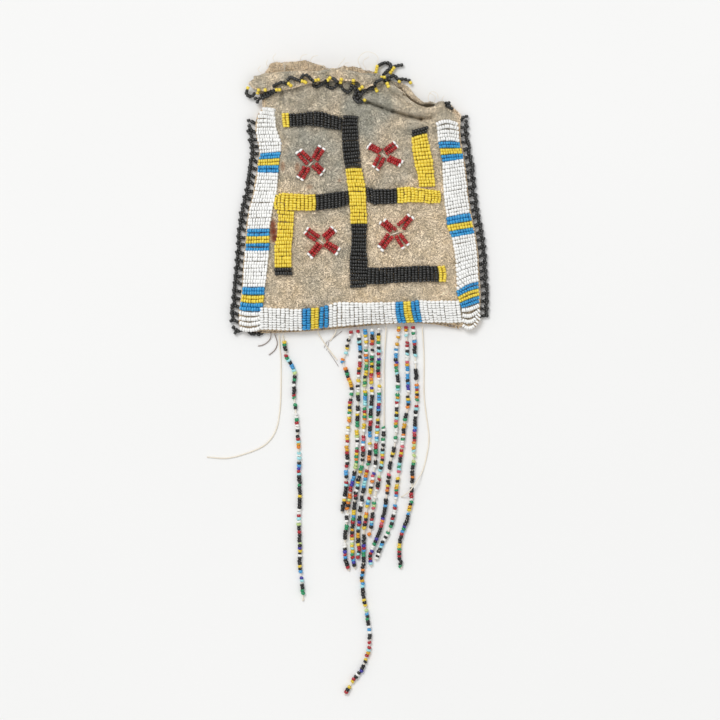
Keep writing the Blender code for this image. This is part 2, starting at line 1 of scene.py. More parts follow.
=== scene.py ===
"""The beaded bag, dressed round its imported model: buckskin, glass seed beads and sewing thread.

It lies on its back: +X to the right, +Y towards the mouth, +Z up out of the front. Lengths are in metres.
Places measured on the photo are in its pixels, 720 by 720, and spot() turns them into metres.
"""
import math

import bpy
import numpy as np
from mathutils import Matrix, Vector


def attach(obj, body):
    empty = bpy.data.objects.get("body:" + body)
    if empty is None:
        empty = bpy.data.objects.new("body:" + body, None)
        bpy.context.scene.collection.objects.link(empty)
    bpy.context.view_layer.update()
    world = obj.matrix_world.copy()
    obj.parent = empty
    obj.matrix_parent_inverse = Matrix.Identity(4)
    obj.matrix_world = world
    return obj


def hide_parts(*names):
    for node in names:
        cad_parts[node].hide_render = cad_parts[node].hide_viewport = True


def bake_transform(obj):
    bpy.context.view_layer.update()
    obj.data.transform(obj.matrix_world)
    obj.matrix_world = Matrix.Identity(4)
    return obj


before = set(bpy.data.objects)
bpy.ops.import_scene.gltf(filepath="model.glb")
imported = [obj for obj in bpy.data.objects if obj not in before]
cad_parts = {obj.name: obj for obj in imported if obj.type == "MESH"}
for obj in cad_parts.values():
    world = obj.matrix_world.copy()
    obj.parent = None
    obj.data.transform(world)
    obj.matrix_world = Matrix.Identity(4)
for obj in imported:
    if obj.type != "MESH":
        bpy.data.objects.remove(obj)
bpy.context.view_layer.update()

# Back hide. One piece of brain-tanned buckskin, cut with shears and left raw at its edges. The bag lies
# on it, and its lip stands above the fold of the front, where the untouched hide is warmer in colour.
HIDE_THICKNESS = 0.0012
GAP = 0.0003                # between pieces that touch
BACK_LENGTH = 0.1353
FRONT_LENGTH = 0.1134       # up to the ends of the side seams
BACK_INSET = 0.0005         # from the bottom seam in to the back's first row
CORNER_RADII = {-1: 0.0055, 1: 0.0080}
# the seams, from the mouth down: pixel row and column of the hides' edges
SIDES = {
    -1: [
        (73, 259), (88, 257.5), (95, 260), (101, 262.3), (108, 262.6), (115, 257.6), (122, 255.7),
        (131, 255.6), (143, 257.8), (151, 259.8), (158, 258.4), (165, 257.2), (172, 257), (180, 255),
        (195, 252.9), (208, 249.2), (225, 246.4), (245, 245), (265, 243.3), (285, 242.2), (300, 240.3),
        (310, 239), (333, 238.8),
    ],
    1: [
        (80, 450), (100, 449), (106, 452), (113, 457), (118, 460.4), (123, 460.3), (131, 460), (143, 461),
        (153, 463.4), (164, 465), (183, 467.3), (195, 468.2), (213, 470.9), (228, 474.2), (239, 476.2),
        (257, 478.4), (270, 478.9), (282, 479.6), (295, 480.6), (303, 480.4), (315, 479.6), (333, 481.6),
    ],
}
# the bottom seam climbs from the left corner to a peak at this share of the way across
BOTTOM_RISE = 0.0050
BOTTOM_PEAK_SHARE = 0.745
BOTTOM_RISE_POWER = 2.1
BOTTOM_Y = -BACK_LENGTH / 2
PIXEL = 0.0005
MIDDLE_PX = 361
SEAM_PY = 332.8
# the edge of the front's lip, and the back's cut edge behind it
LIP_EDGE = [
    (250, 78.5), (261, 77), (268, 74.3), (345, 73.5), (378, 74.5), (384, 84.5), (395, 86.5), (401, 91),
    (404.5, 95.5), (411.6, 102.6), (418, 106.8), (424, 108.4), (433, 106.5), (438, 103.5), (443, 102.5),
    (450, 107), (458, 113),
]
BACK_EDGE = [
    (256, 80), (263.5, 77.5), (265.3, 71.2), (267.6, 69.8), (268.7, 66), (271, 63.6), (277, 62.2),
    (281, 62.9), (284, 62), (290, 62.5), (297, 61.2), (303, 60.8), (309, 61.8), (315, 63.5), (321, 65.8),
    (327, 68.3), (333, 69.6), (340, 68), (344, 65.5), (348, 67), (353, 66.8), (358, 68), (364, 70),
    (372, 71.8), (378, 74), (386, 78), (395, 82.5), (403, 84), (410, 88), (415, 95), (423, 103),
    (433, 104), (439, 102), (443, 101.5), (449, 106), (455, 113), (462, 119),
]
# the back's free edge lifts off the table, and higher from FLOP_X on, where the mouth flops open
LIFT_LENGTH = 0.008
LIFT_HEIGHT = 0.0007
FLOP_HEIGHT = 0.0027
FLOP_X = 0.012
FLOP_FADE = 0.01
# between two columns it rolls up past the front's lip and leaves a dark slit between them
ROLL_HEIGHT = 0.0034
ROLL_COLUMNS = (396, 442)
ROLL_FADES = (0.003, 0.004)
ROLL_START = 0.0005
ROLL_RUN = 0.0013


def spot(px, py):
    """A place on the table, from the pixel where the photo shows it."""
    return (px - MIDDLE_PX) * PIXEL, BOTTOM_Y + (SEAM_PY - py) * PIXEL


def spots(pixels):
    return np.array([spot(*pixel) for pixel in pixels])


def line_y(line, x):
    """y of a line of points at each x."""
    return np.interp(x, line[:, 0], line[:, 1])


def mix(a, b, share):
    return a + (b - a) * share


def ease(share):
    share = np.clip(share, 0, 1)
    return share * share * (3 - 2 * share)


def ridge(distance, height, width):
    """Height of a rounded ridge, this far from its crest."""
    return height * np.exp(-(distance / width) ** 2)


def edge_x(side, up):
    """The body's outline: x of the left (-1) or right (1) seam, at a height above the bottom seam."""
    rows, columns = np.array(SIDES[side]).T
    x = (np.interp(SEAM_PY - np.asarray(up) / PIXEL, rows, columns) - MIDDLE_PX) * PIXEL
    radius = CORNER_RADII[side]
    cut = np.clip(radius - np.maximum(up, 0), 0, None)
    corner = radius - np.sqrt(radius ** 2 - cut ** 2)
    return x - side * corner


def from_side(x, up):
    """How far in from the nearer side seam a point lies."""
    return np.minimum(x - edge_x(-1, up), edge_x(1, up) - x)


def across_at(x, up):
    """How far across the body a point lies: -1 at the left seam, 1 at the right."""
    return 2 * (x - edge_x(-1, up)) / (edge_x(1, up) - edge_x(-1, up)) - 1


def climb(across, up):
    """How far the climbing bottom seam lifts a point, which fades out towards the mouth."""
    reach = (np.maximum(across + 1, 0) / 2 / BOTTOM_PEAK_SHARE) ** BOTTOM_RISE_POWER
    return BOTTOM_RISE * np.sin(np.pi / 2 * reach) * np.maximum(1 - up / FRONT_LENGTH, 0)


def body_place(across, up):
    x = mix(edge_x(-1, up), edge_x(1, up), (across + 1) / 2)
    return x, BOTTOM_Y + up + climb(across, up)


def body_shares(x, y):
    """Undoes body_place, closer with each of five steps."""
    up = y - BOTTOM_Y
    for _ in range(5):
        across = across_at(x, up)
        up = y - BOTTOM_Y - climb(across, up)
    return across, up


def only(obj):
    """Leaves one object selected and active, as the operators need."""
    bpy.ops.object.select_all(action="DESELECT")
    obj.select_set(True)
    bpy.context.view_layer.objects.active = obj


def lay_sheet(name, columns, rows, place):
    """A grid laid on place(u, v), which takes and returns arrays."""
    bpy.ops.object.select_all(action="DESELECT")
    bpy.ops.mesh.primitive_grid_add(x_subdivisions=columns, y_subdivisions=rows, size=1)
    sheet = bpy.context.object
    sheet.name = sheet.data.name = name
    flat = np.empty(len(sheet.data.vertices) * 3)
    sheet.data.vertices.foreach_get("co", flat)
    flat = flat.reshape(-1, 3)
    sheet.data.vertices.foreach_set("co", np.stack(place(flat[:, 0] + 0.5, flat[:, 1] + 0.5), 1).ravel())
    return sheet


def mouthward(v):
    """Shares of the way up for a hide's rows, which lie closer together towards the mouth."""
    return 1.5 * v - 0.5 * v * v


def thicken(sheet, offset=-1):
    """Gives a sheet the hide's thickness, below it or, with offset 0, to both sides."""
    only(sheet)
    wall = sheet.modifiers.new("wall", "SOLIDIFY")
    wall.thickness = HIDE_THICKNESS
    wall.offset = offset
    bpy.ops.object.modifier_apply(modifier=wall.name)
    bpy.ops.object.shade_smooth_by_angle(angle=math.radians(50))


def linear(code):
    """A hex sRGB colour as linear RGBA."""
    channels = [int(code[i:i + 2], 16) / 255 for i in (1, 3, 5)]
    return (*[c / 12.92 if c <= 0.04045 else ((c + 0.055) / 1.055) ** 2.4 for c in channels], 1)


def add_node(tree, kind, inputs, **settings):
    """Adds a node. inputs gives each socket a value, a hex colour or the output that it is linked to."""
    made = tree.nodes.new("ShaderNode" + kind)
    for key, value in settings.items():
        setattr(made, key, value)
    for socket, value in inputs.items():
        if isinstance(value, bpy.types.NodeSocket):
            tree.links.new(value, made.inputs[socket])
        else:
            made.inputs[socket].default_value = linear(value) if isinstance(value, str) else value
    return made


# the sockets of a node that mixes two colours: the first, the second and the result
FIRST, SECOND, MIXED = 6, 7, 2


def new_material(name, roughness, ior):
    made = bpy.data.materials.new(name)
    made.use_nodes = True
    shader = made.node_tree.nodes["Principled BSDF"]
    shader.inputs["Roughness"].default_value = roughness
    shader.inputs["IOR"].default_value = ior
    return made, made.node_tree, shader


def buckskin():
    """Brain-tanned buckskin: the grain is scraped off, so both faces are a matt nap with short curled
    fibres. Handling has greyed it, and the warmer tan shows where it was covered."""
    made, tree, shader = new_material("brain-tanned buckskin", 0.95, 1.45)
    shader.inputs["Sheen Weight"].default_value = 0.12
    shader.inputs["Sheen Roughness"].default_value = 0.6
    place = add_node(tree, "TexCoord", {}).outputs["Object"]
    warmth = add_node(tree, "Attribute", {}, attribute_name="warmth").outputs["Fac"]
    stain = add_node(tree, "Attribute", {}, attribute_name="stain").outputs["Fac"]
    # clouds 15 mm across, blotches 4 mm, curled fibres in 1.4 mm swirls and nap 0.7 mm across
    clouds = add_node(tree, "TexNoise", {"Vector": place, "Scale": 65, "Detail": 3})
    blotches = add_node(tree, "TexNoise", {"Vector": place, "Scale": 260, "Detail": 4})
    swirls = add_node(tree, "TexNoise", {"Vector": place, "Scale": 700, "Detail": 2.5, "Distortion": 2.4})
    nap = add_node(tree, "TexNoise", {"Vector": place, "Scale": 1500, "Detail": 3})
    tone = add_node(
        tree, "MapRange",
        {"Value": clouds.outputs["Fac"], "From Min": 0.3, "From Max": 0.7,
         "To Min": -0.45, "To Max": 0.45},
    )
    warm = add_node(tree, "Math", {0: warmth, 1: tone.outputs[0]}, operation="ADD", use_clamp=True)
    base = add_node(
        tree, "Mix", {"Factor": warm.outputs[0], FIRST: "#BDB8A5", SECOND: "#FDE2B9"},
        data_type="RGBA",
    ).outputs[MIXED]
    # the curls are where the swirling noise crosses its middle
    middle = add_node(tree, "Math", {0: swirls.outputs["Fac"], 1: 0.5}, operation="SUBTRACT")
    away = add_node(tree, "Math", {0: middle.outputs[0]}, operation="ABSOLUTE")
    curls = add_node(tree, "MapRange", {"Value": away.outputs[0], "From Max": 0.065})
    patches = add_node(
        tree, "MapRange", {"Value": blotches.outputs["Fac"], "From Min": 0.35, "From Max": 0.6}
    )
    dark = add_node(tree, "HueSaturation", {"Value": 0.42, "Saturation": 1.05, "Color": base})
    pale = add_node(tree, "HueSaturation", {"Value": 1.24, "Saturation": 0.85, "Color": base})
    blotched = add_node(
        tree, "Mix", {"Factor": patches.outputs[0], FIRST: base, SECOND: pale.outputs[0]},
        data_type="RGBA",
    )
    napped = add_node(
        tree, "Mix",
        {"Factor": curls.outputs[0], FIRST: dark.outputs[0], SECOND: blotched.outputs[MIXED]},
        data_type="RGBA",
    )
    rust = add_node(tree, "Mix", {"Factor": stain, FIRST: "#E08A38", SECOND: "#8A3200"}, data_type="RGBA")
    stained = add_node(
        tree, "Mix",
        {"Factor": stain, FIRST: napped.outputs[MIXED], SECOND: rust.outputs[MIXED]}, data_type="RGBA",
    )
    tree.links.new(stained.outputs[MIXED], shader.inputs["Base Color"])
    height = add_node(
        tree, "Math", {0: curls.outputs[0], 1: 0.7, 2: nap.outputs["Fac"]},
        operation="MULTIPLY_ADD",
    )
    coarse = add_node(
        tree, "Math", {0: blotches.outputs["Fac"], 1: 2.0, 2: height.outputs[0]},
        operation="MULTIPLY_ADD",
    )
    bump = add_node(tree, "Bump", {"Height": coarse.outputs[0], "Strength": 1.0, "Distance": 0.0006})
    tree.links.new(bump.outputs[0], shader.inputs["Normal"])
    return made


def paint_hide(piece, warmth_at, stain_at):
    """Writes how warm and how stained the hide is at each point."""
    piece.data.materials.append(HIDE)
    flat = np.empty(len(piece.data.vertices) * 3)
    piece.data.vertices.foreach_get("co", flat)
    x, y, _ = flat.reshape(-1, 3).T
    for name, values in (("warmth", warmth_at(x, y)), ("stain", stain_at(x, y))):
        layer = piece.data.attributes.new(name, "FLOAT", "POINT")
        layer.data.foreach_set("value", values.astype(np.float32))


SEAM_TINT_WIDTH = 0.0016
SEAM_STAIN = 0.04


def seam_tint(x, y):
    """1 along the seams, fading inwards."""
    _, up = body_shares(x, y)
    return ridge(np.maximum(np.minimum(from_side(x, up), up), 0), 1, SEAM_TINT_WIDTH)


def back_warmth(x, y):
    """Warm and pinkish where the cuff kept it clean, grey where it flops open at the right."""
    return 1.05 - 0.65 * ease((x - spot(382, 0)[0]) / 0.006) + seam_tint(x, y)


def back_stain(x, y):
    """Faint streaks, and a trace along the seams."""
    return SEAM_STAIN * seam_tint(x, y) + 0.02 + 0.04 * np.sin(x * 800 + 2 * np.sin(x * 310 + y * 300))


HIDE = buckskin()
back_edge = spots(BACK_EDGE)
lip_edge = spots(LIP_EDGE)


def back_surface(u, v):
    across = 2 * u - 1
    x, _ = body_place(across, np.full_like(u, BACK_LENGTH * 0.95))
    top = line_y(back_edge, x) - BOTTOM_Y
    # small nicks of the shears
    top += 0.00022 * np.sin(x * 5200) + 0.00016 * np.sin(x * 9100 + 1)
    up = mix(BACK_INSET, top, mouthward(v))
    x, y = body_place(across, up)
    # the free edge has dried in flutes
    flutes = 0.0004 * np.sin(x * 1300 + y * 700 + 2 * np.sin(x * 400))
    flutes += 0.00015 * np.sin(x * 3300 + y * 1900)
    lift = LIFT_HEIGHT + flutes + FLOP_HEIGHT * ease((x - FLOP_X) / FLOP_FADE)
    lift *= ease((up - top + LIFT_LENGTH) / LIFT_LENGTH)
    left, right = (spot(px, 0)[0] for px in ROLL_COLUMNS)
    here = ease((x - left) / ROLL_FADES[0]) * ease((right - x) / ROLL_FADES[1])
    roll = ROLL_HEIGHT * here * ease((y - line_y(lip_edge, x) - ROLL_START) / ROLL_RUN)
    return x, y, HIDE_THICKNESS + np.maximum(lift * (1 - here), roll)


back_hide = lay_sheet("back_hide", 150, 150, back_surface)
thicken(back_hide)
paint_hide(back_hide, back_warmth, back_stain)
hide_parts("back_panel")
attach(back_hide, "pouch")

# Front hide. The same buckskin, sewn to the back along both sides and the bottom. It bulges between the
# seams, is creased by years of folding, and its free lip above the seams rolls forward at the right.
POUCH_HEIGHT = 0.0062
RISE_LENGTH = 0.0200        # from a seam in to the full height
LIP_LENGTH = 0.0166
FRONT_INSET = 0.0007
SEAM_Z = HIDE_THICKNESS + GAP
# depth in millimetres (a ridge is negative), width in millimetres, and the line in the photo
CREASES = [
    (1.3, 0.7, [(281.7, 90), (282, 98), (281.6, 104)]),
    (0.35, 0.6, [(281.6, 105), (284, 112), (283, 120)]),
    (0.45, 0.8, [(287.8, 140), (290.5, 148), (293.6, 157)]),
    (0.35, 0.9, [(289.8, 163), (289.2, 176), (289, 189)]),
    (0.35, 0.7, [(359.2, 141.5), (364, 144), (369, 144.3)]),
    (0.40, 0.5, [(385.6, 165.4), (383, 173.7), (378, 181.3), (376.7, 187.7)]),
    (0.40, 0.6, [(373.2, 205), (371, 212), (370.1, 227), (369, 240), (369.2, 256)]),
    (4.2, 0.8, [(365, 102.5), (374, 105.5), (381.5, 108.3)]),
    (1.2, 0.7, [(381.5, 107.5), (383.5, 111), (388, 116)]),
    (2.4, 0.8, [(383, 109), (392, 112)]),
    (4.6, 0.85, [(393, 112.3), (405, 116), (421, 119.7)]),
    (2.6, 0.9, [(422, 119.8), (430, 118.8)]),
    (0.8, 1.0, [(431, 118.6), (438, 116.5)]),
    (0.7, 0.6, [(388.5, 113), (391.5, 119), (392, 126)]),
    (-1.5, 2.4, [
        (370, 97.5), (385, 102), (396, 105), (410, 111.5), (421, 113), (434, 110.5), (442, 107),
    ]),
    (0.45, 0.6, [(386, 110), (392, 118), (396, 128)]),
    (0.40, 0.6, [(396, 114), (403, 121), (407, 130)]),
    (0.40, 0.6, [(376, 107), (378, 116), (377, 125)]),
    (0.35, 0.6, [(406, 118), (412, 124), (420, 127)]),
    (0.35, 0.7, [(316, 131), (322, 139), (326, 146)]),
    (0.35, 0.6, [(337, 146), (333, 158), (335, 168)]),
    (0.35, 0.6, [(300, 136), (308, 141), (318, 143)]),
    (0.8, 0.7, [(388, 90), (397, 97), (405, 104), (412, 107)]),
    (2.6, 0.5, [(403.5, 95.5), (409, 98.5), (413, 102), (418, 105.5)]),
    (-0.9, 1.1, [(386, 87), (396, 90), (403, 97), (410, 104), (418, 108)]),
    (0.6, 0.8, [(424, 109), (432, 108), (437, 105)]),
    (0.5, 1.2, [(300, 92), (312, 96), (330, 97), (345, 102)]),
    (0.4, 0.9, [(345, 102), (358, 110), (362, 116)]),
    (-0.5, 2.0, [(290, 98), (308, 103), (330, 106)]),
    (1.8, 1.2, [(354.5, 84.5), (360.5, 86.5)]),
    (0.35, 0.7, [(437, 180), (441.5, 187), (441.5, 194)]),
    (0.30, 0.9, [(440, 215), (444, 232), (448, 246)]),
    (0.25, 1.0, [(352, 300), (372, 297), (392, 294)]),
]
# each wave's turn in radians, its length and its share: what drying and handling left, and the sharper
# crumples of a mouth that was folded down and pulled open
RIPPLES = [(0.4, 0.031, 0.4), (1.9, 0.023, 0.3), (2.7, 0.014, 0.2), (1.1, 0.0093, 0.1)]
RIPPLE_HEIGHT = 0.00045
CRUMPLES = [
    (0.2, 0.0085, 0.5), (1.3, 0.0071, 0.5), (2.2, 0.0063, 0.5), (2.9, 0.0052, 0.5), (0.8, 0.0044, 0.5),
]
CRUMPLE_HEIGHT = 0.0003
CRUMPLED_FROM_Y = spot(0, 132)[1]
CRUMPLE_FADE = 0.008
WANDER_LENGTH = 0.013
# stains: place, half width, half height in pixels of the photo, and how strong
STAINS = [
    ((272.8, 225), 3.4, 5.5, 0.95), ((273.5, 231.7), 4.2, 5.5, 1.0), ((274.8, 238), 4.0, 5.0, 1.0),
    ((278.6, 236), 2.6, 2.4, 0.95), ((283, 167), 2.2, 5.0, 0.45), ((297.5, 168), 2.4, 4.5, 0.5),
    ((309.5, 187.5), 3.4, 2.4, 0.35), ((339.6, 181), 1.3, 1.3, 0.5), ((280.5, 233.5), 2.0, 3.5, 0.4),
]
# greyer patches: place, half width and half height in metres, and how much greyer
GREY_PATCHES = [
    ((335, 120), 0.045, 0.038, 0.62), ((325, 158), 0.010, 0.009, 0.25), ((393, 103), 0.016, 0.007, 0.42),
]


def line_distance(x, y, line):
    """How far each point lies from a line of straight runs."""
    nearest = np.full_like(x, 1.0)
    for (ax, ay), (bx, by) in zip(line, line[1:]):
        length = (bx - ax) ** 2 + (by - ay) ** 2
        share = np.clip(((x - ax) * (bx - ax) + (y - ay) * (by - ay)) / length, 0, 1)
        nearest = np.minimum(nearest, np.hypot(x - ax - share * (bx - ax), y - ay - share * (by - ay)))
    return nearest


def waves(x, y, plan, phase, wander=0):
    """Waves that cross each other. They may wander to the side as they run."""
    rises = np.zeros_like(x)
    for turn, length, share in plan:
        way = (x * math.cos(turn) + y * math.sin(turn)) * 2 * math.pi / length
        aside = (x * math.sin(turn) - y * math.cos(turn)) * 2 * math.pi / WANDER_LENGTH
        rises += share * np.sin(way + wander * np.sin(aside) + turn * phase)
    return rises


def crumple(x, y):
    return waves(x, y, CRUMPLES, 5, wander=1.3)


def rise(distance):
    return np.sin(np.pi / 2 * np.clip(distance / RISE_LENGTH, 0, 1))


def front_height(x, y):
    """Height of the front's outer face."""
    x, y = np.asarray(x, float), np.asarray(y, float)
    _, up = body_shares(x, y)
    lifted = rise(from_side(x, up)) * rise(up)
    height = SEAM_Z + HIDE_THICKNESS + POUCH_HEIGHT * lifted
    height += RIPPLE_HEIGHT * waves(x, y, RIPPLES, 9) * lifted
    height += CRUMPLE_HEIGHT * crumple(x, y) * lifted * ease((y - CRUMPLED_FROM_Y) / CRUMPLE_FADE)
    for depth, width, line in CREASES:
        height -= ridge(line_distance(x, y, spots(line)), depth / 1000, width / 1000) * ease(lifted * 2.5)
    return height


def front_surface(u, v):
    across = 2 * u - 1
    x, _ = body_place(across, np.full_like(u, FRONT_LENGTH + LIP_LENGTH / 2))
    x, y = body_place(across, mix(FRONT_INSET, line_y(lip_edge, x) - BOTTOM_Y, mouthward(v)))
    return x, y, front_height(x, y)


def front_warmth(x, y):
    """Greyer round the middle of the mouth and on its roll, tanner towards the bottom and the right."""
    warmth = 0.78
    for place, width, height, strength in GREY_PATCHES:
        px, py = spot(*place)
        warmth = warmth - strength * np.exp(-((x - px) / width) ** 2 - ((y - py) / height) ** 2)
    return warmth + seam_tint(x, y)


def front_stain(x, y):
    stain = SEAM_STAIN * seam_tint(x, y)
    for place, width, height, strength in STAINS:
        px, py = spot(*place)
        reach = ((x - px) / (width * PIXEL)) ** 2 + ((y - py) / (height * PIXEL)) ** 2
        stain = np.maximum(stain, strength * np.exp(-reach ** 2))
    return stain


front_hide = lay_sheet("front_hide", 190, 190, front_surface)
thicken(front_hide)
paint_hide(front_hide, front_warmth, front_stain)
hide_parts("front_panel", "front_lip")
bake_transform(front_hide)

# Cuff. The top of the front hide, folded forward so that its flesh side shows. The fold is soft and
# round, the cut edge is thin, curls up and carries a painted highlight, and at the right a strip of it
# is rolled under.
FOLD_LINE = [
    (247, 79.5), (250.5, 77.4), (254, 76.2), (259, 75.8), (264, 73.8), (281, 72.3), (300, 72), (318, 72.2),
    (326, 70.4), (332, 68.9), (340, 69.6), (355, 72.3), (365, 75), (380, 79.5),
]
CUFF_EDGE = [
    (247, 85.5), (249.5, 87), (255.5, 90), (262, 91.5), (270, 91.8), (281, 91.2), (291, 89.8), (298, 88),
    (305, 85.8), (313.5, 83.8), (320, 82.6), (330, 82), (345, 82), (352, 81.6), (357.5, 82),
    (360.3, 84.5), (362, 88.6), (364.5, 90.4), (368, 88), (374, 86), (380, 84),
]
CUFF_ROLL = [(375, 76.5), (370, 80.5), (366, 85), (363, 89.5)]
FOLD_RADIUS = (HIDE_THICKNESS + GAP) / 2
FOLD_SHARE = 0.22           # of the cuff's rows lie in the fold
CUFF_ENDS = (254, 379)
END_BULGE = 5.5             # how many pixels the left end bulges out
fold_line = spots(FOLD_LINE)
cuff_edge = spots(CUFF_EDGE)


def cuff_height(x, y):
    """Height of the middle of the cuff's thickness."""
    from_edge = y - line_y(cuff_edge, x)
    roll = ridge(line_distance(x, y, spots(CUFF_ROLL)), height=0.0020, width=0.0014)
    curl = ridge(from_edge, height=0.0006, width=0.0010)
    swell = ridge(from_edge - 0.0045, height=0.0004, width=0.002)
    flutes = ridge(from_edge, height=0.0004, width=0.004) * np.sin(x * 900 + 1.5 * np.sin(x * 350))
    lie = front_height(x, y) + 2 * GAP + HIDE_THICKNESS / 2
    return lie + roll + curl + swell + flutes + 0.0002 * crumple(x * 1.3, y * 1.3) + 0.0002


def cuff_surface(u, v):
    down = np.clip((v - FOLD_SHARE) / (1 - FOLD_SHARE), 0, 1)
    left, _ = spot(CUFF_ENDS[0] - END_BULGE * np.sin(np.pi * down), 0)
    right, _ = spot(CUFF_ENDS[1], 0)
    x = mix(left, right, u)
    fold = line_y(fold_line, x) - FOLD_RADIUS - HIDE_THICKNESS / 2
    edge = line_y(cuff_edge, x) + 0.00012 * np.sin(x * 7000)
    turn = np.pi * (np.clip(v / FOLD_SHARE, 0, 1) - 0.5)
    y = np.where(v < FOLD_SHARE, fold + FOLD_RADIUS * np.cos(turn), mix(fold, edge, down))
    middle = cuff_height(x, fold) - FOLD_RADIUS
    z = np.where(v < FOLD_SHARE, middle + FOLD_RADIUS * np.sin(turn), cuff_height(x, y))
    return x, y, z


def cuff_warmth(x, y):
    """Grey with warmer bands, and warmest along the thin cut edge, where the warm pale tone is a painted
    highlight on the curled rim.
    """
    # painted highlight: warmer, paler colour along the curled cut edge
    painted_edge_highlight = ridge(y - line_y(cuff_edge, x), height=0.6, width=0.0008)
    return 0.36 + 0.3 * np.sin(x * 210 + 1) ** 2 + painted_edge_highlight


cuff = lay_sheet("cuff_hide", 150, 44, cuff_surface)
thicken(cuff, offset=0)
paint_hide(cuff, cuff_warmth, lambda x, y: np.zeros_like(x))
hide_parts("mouth_cuff")
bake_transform(cuff)

# Bead borders. Glass seed beads in lane stitch: short rows side by side along both sides and the
# bottom, each row sewn down at its ends only, so it humps a little and the rows lean with the seam.
BEAD_DIAMETER = 0.0020
BORDER_BEADS = 9            # to a row
ROW_HUMP = 0.00025
SNUG = 1.07                 # beads bulge against those of the next row
# how far a row's ends, its bow, a single bead and its axis are out of line
END_JITTER = 0.00006
BOW_JITTER = 0.00010
BEAD_JITTER = 0.00005
AXIS_JITTER = 0.00004
chance = np.random.default_rng(11)


def bead_shape():
    """One seed bead, a ring with rounded ends, one unit long along Z and one across."""
    wall = 0.14
    bpy.ops.object.select_all(action="DESELECT")
    bpy.ops.mesh.primitive_torus_add(
        major_segments=10, minor_segments=8, major_radius=0.5 - wall, minor_radius=wall
    )
    bead = bpy.context.object
    bpy.ops.object.mode_set(mode="EDIT")
    bpy.ops.mesh.select_all(action="SELECT")
    bpy.ops.transform.resize(value=(1, 1, 0.5 / wall))
    bpy.ops.object.mode_set(mode="OBJECT")
    points = np.array([vert.co for vert in bead.data.vertices])
    faces = np.array([list(face.vertices) for face in bead.data.polygons])
    bpy.data.objects.remove(bead)
    return points, faces


BEAD_POINTS, BEAD_FACES = bead_shape()


def put(name, data):
    """An object of its own for a mesh, a curve, a lamp or a camera."""
    made = bpy.data.objects.new(name, data)
    bpy.context.scene.collection.objects.link(made)
    return made


def string_beads(name, beads, finishes, colours=None):
    """One mesh of beads. Each bead is (centre, axis, length, diameter, index of its finish)."""
    axes = np.array([bead[1] for bead in beads])
    axes /= np.linalg.norm(axes, axis=1, keepdims=True)
    lengths, diameters = np.array([bead[2:4] for bead in beads]).T[:, :, None]
    upright = np.where(np.abs(axes[:, 2:]) > 0.9, [[1.0, 0, 0]], [[0, 0, 1.0]])
    aside = np.cross(axes, upright)
    aside /= np.linalg.norm(aside, axis=1, keepdims=True)
    over = np.cross(axes, aside)
    spin = chance.uniform(0, 2 * np.pi, len(beads))[:, None]
    px, py, pz = BEAD_POINTS.T
    points = np.array([bead[0] for bead in beads])[:, None]
    for way, reach in (
        (aside, (px * np.cos(spin) - py * np.sin(spin)) * diameters),
        (over, (px * np.sin(spin) + py * np.cos(spin)) * diameters),
        (axes, pz * lengths),
    ):
        points = points + way[:, None] * reach[:, :, None]
    each = len(BEAD_POINTS)
    faces = (BEAD_FACES[None] + np.arange(len(beads))[:, None, None] * each).reshape(-1, 4)
    mesh = bpy.data.meshes.new(name)
    mesh.from_pydata(points.reshape(-1, 3).tolist(), [], faces.tolist())
    for finish in finishes:
        mesh.materials.append(finish)
    mesh.polygons.foreach_set("material_index", np.repeat([bead[4] for bead in beads], len(BEAD_FACES)))
    mesh.shade_smooth()
    shade = mesh.attributes.new("shade", "FLOAT", "POINT")
    shade.data.foreach_set("value", np.repeat(chance.uniform(0, 1, len(beads)), each).astype(np.float32))
    if colours is not None:
        layer = mesh.attributes.new("glass_colour", "FLOAT_COLOR", "POINT")
        layer.data.foreach_set("color", np.repeat(np.array(colours), each, 0).astype(np.float32).ravel())
    return put(name, mesh)


def bead_glass(name, light, dark, roughness):
    """Opaque drawn glass, fire-polished once cut: colour and skin vary a little from bead to bead.
    Where no colours are given, each bead brings its own."""
    made, tree, shader = new_material(name, roughness, 1.52)
    place = add_node(tree, "TexCoord", {}).outputs["Object"]
    shade = add_node(tree, "Attribute", {}, attribute_name="shade").outputs["Fac"]
    # skin unevenness about 0.6 mm across, half a bead
    skin = add_node(tree, "TexNoise", {"Vector": place, "Scale": 1600, "Detail": 2})
    tone = add_node(tree, "Math", {0: shade, 1: skin.outputs["Fac"]}, operation="MULTIPLY")
    if light is None:
        light = add_node(tree, "Attribute", {}, attribute_name="glass_colour").outputs["Color"]
        deep = add_node(tree, "HueSaturation", {"Value": 0.78, "Saturation": 1.1, "Color": light})
        dark = deep.outputs[0]
    mixed = add_node(tree, "Mix", {"Factor": tone.outputs[0], FIRST: light, SECOND: dark}, data_type="RGBA")
    tree.links.new(mixed.outputs[MIXED], shader.inputs["Base Color"])
    bump = add_node(tree, "Bump", {"Height": skin.outputs["Fac"], "Strength": 0.15, "Distance": 0.0001})
    tree.links.new(bump.outputs[0], shader.inputs["Normal"])
    return made


WHITE = bead_glass("chalk-white glass", "#FFFFFD", "#ECEBE6", 0.30)
BLUE = bead_glass("greasy-blue glass", "#3DA6DD", "#1C70B6", 0.22)
YELLOW = bead_glass("greasy-yellow glass", "#F8DF50", "#DAB630", 0.24)
BLACK = bead_glass("jet-black glass", "#30302E", "#141414", 0.20)
RED = bead_glass("cranberry glass", "#BC2A2B", "#6C0D12", 0.15)


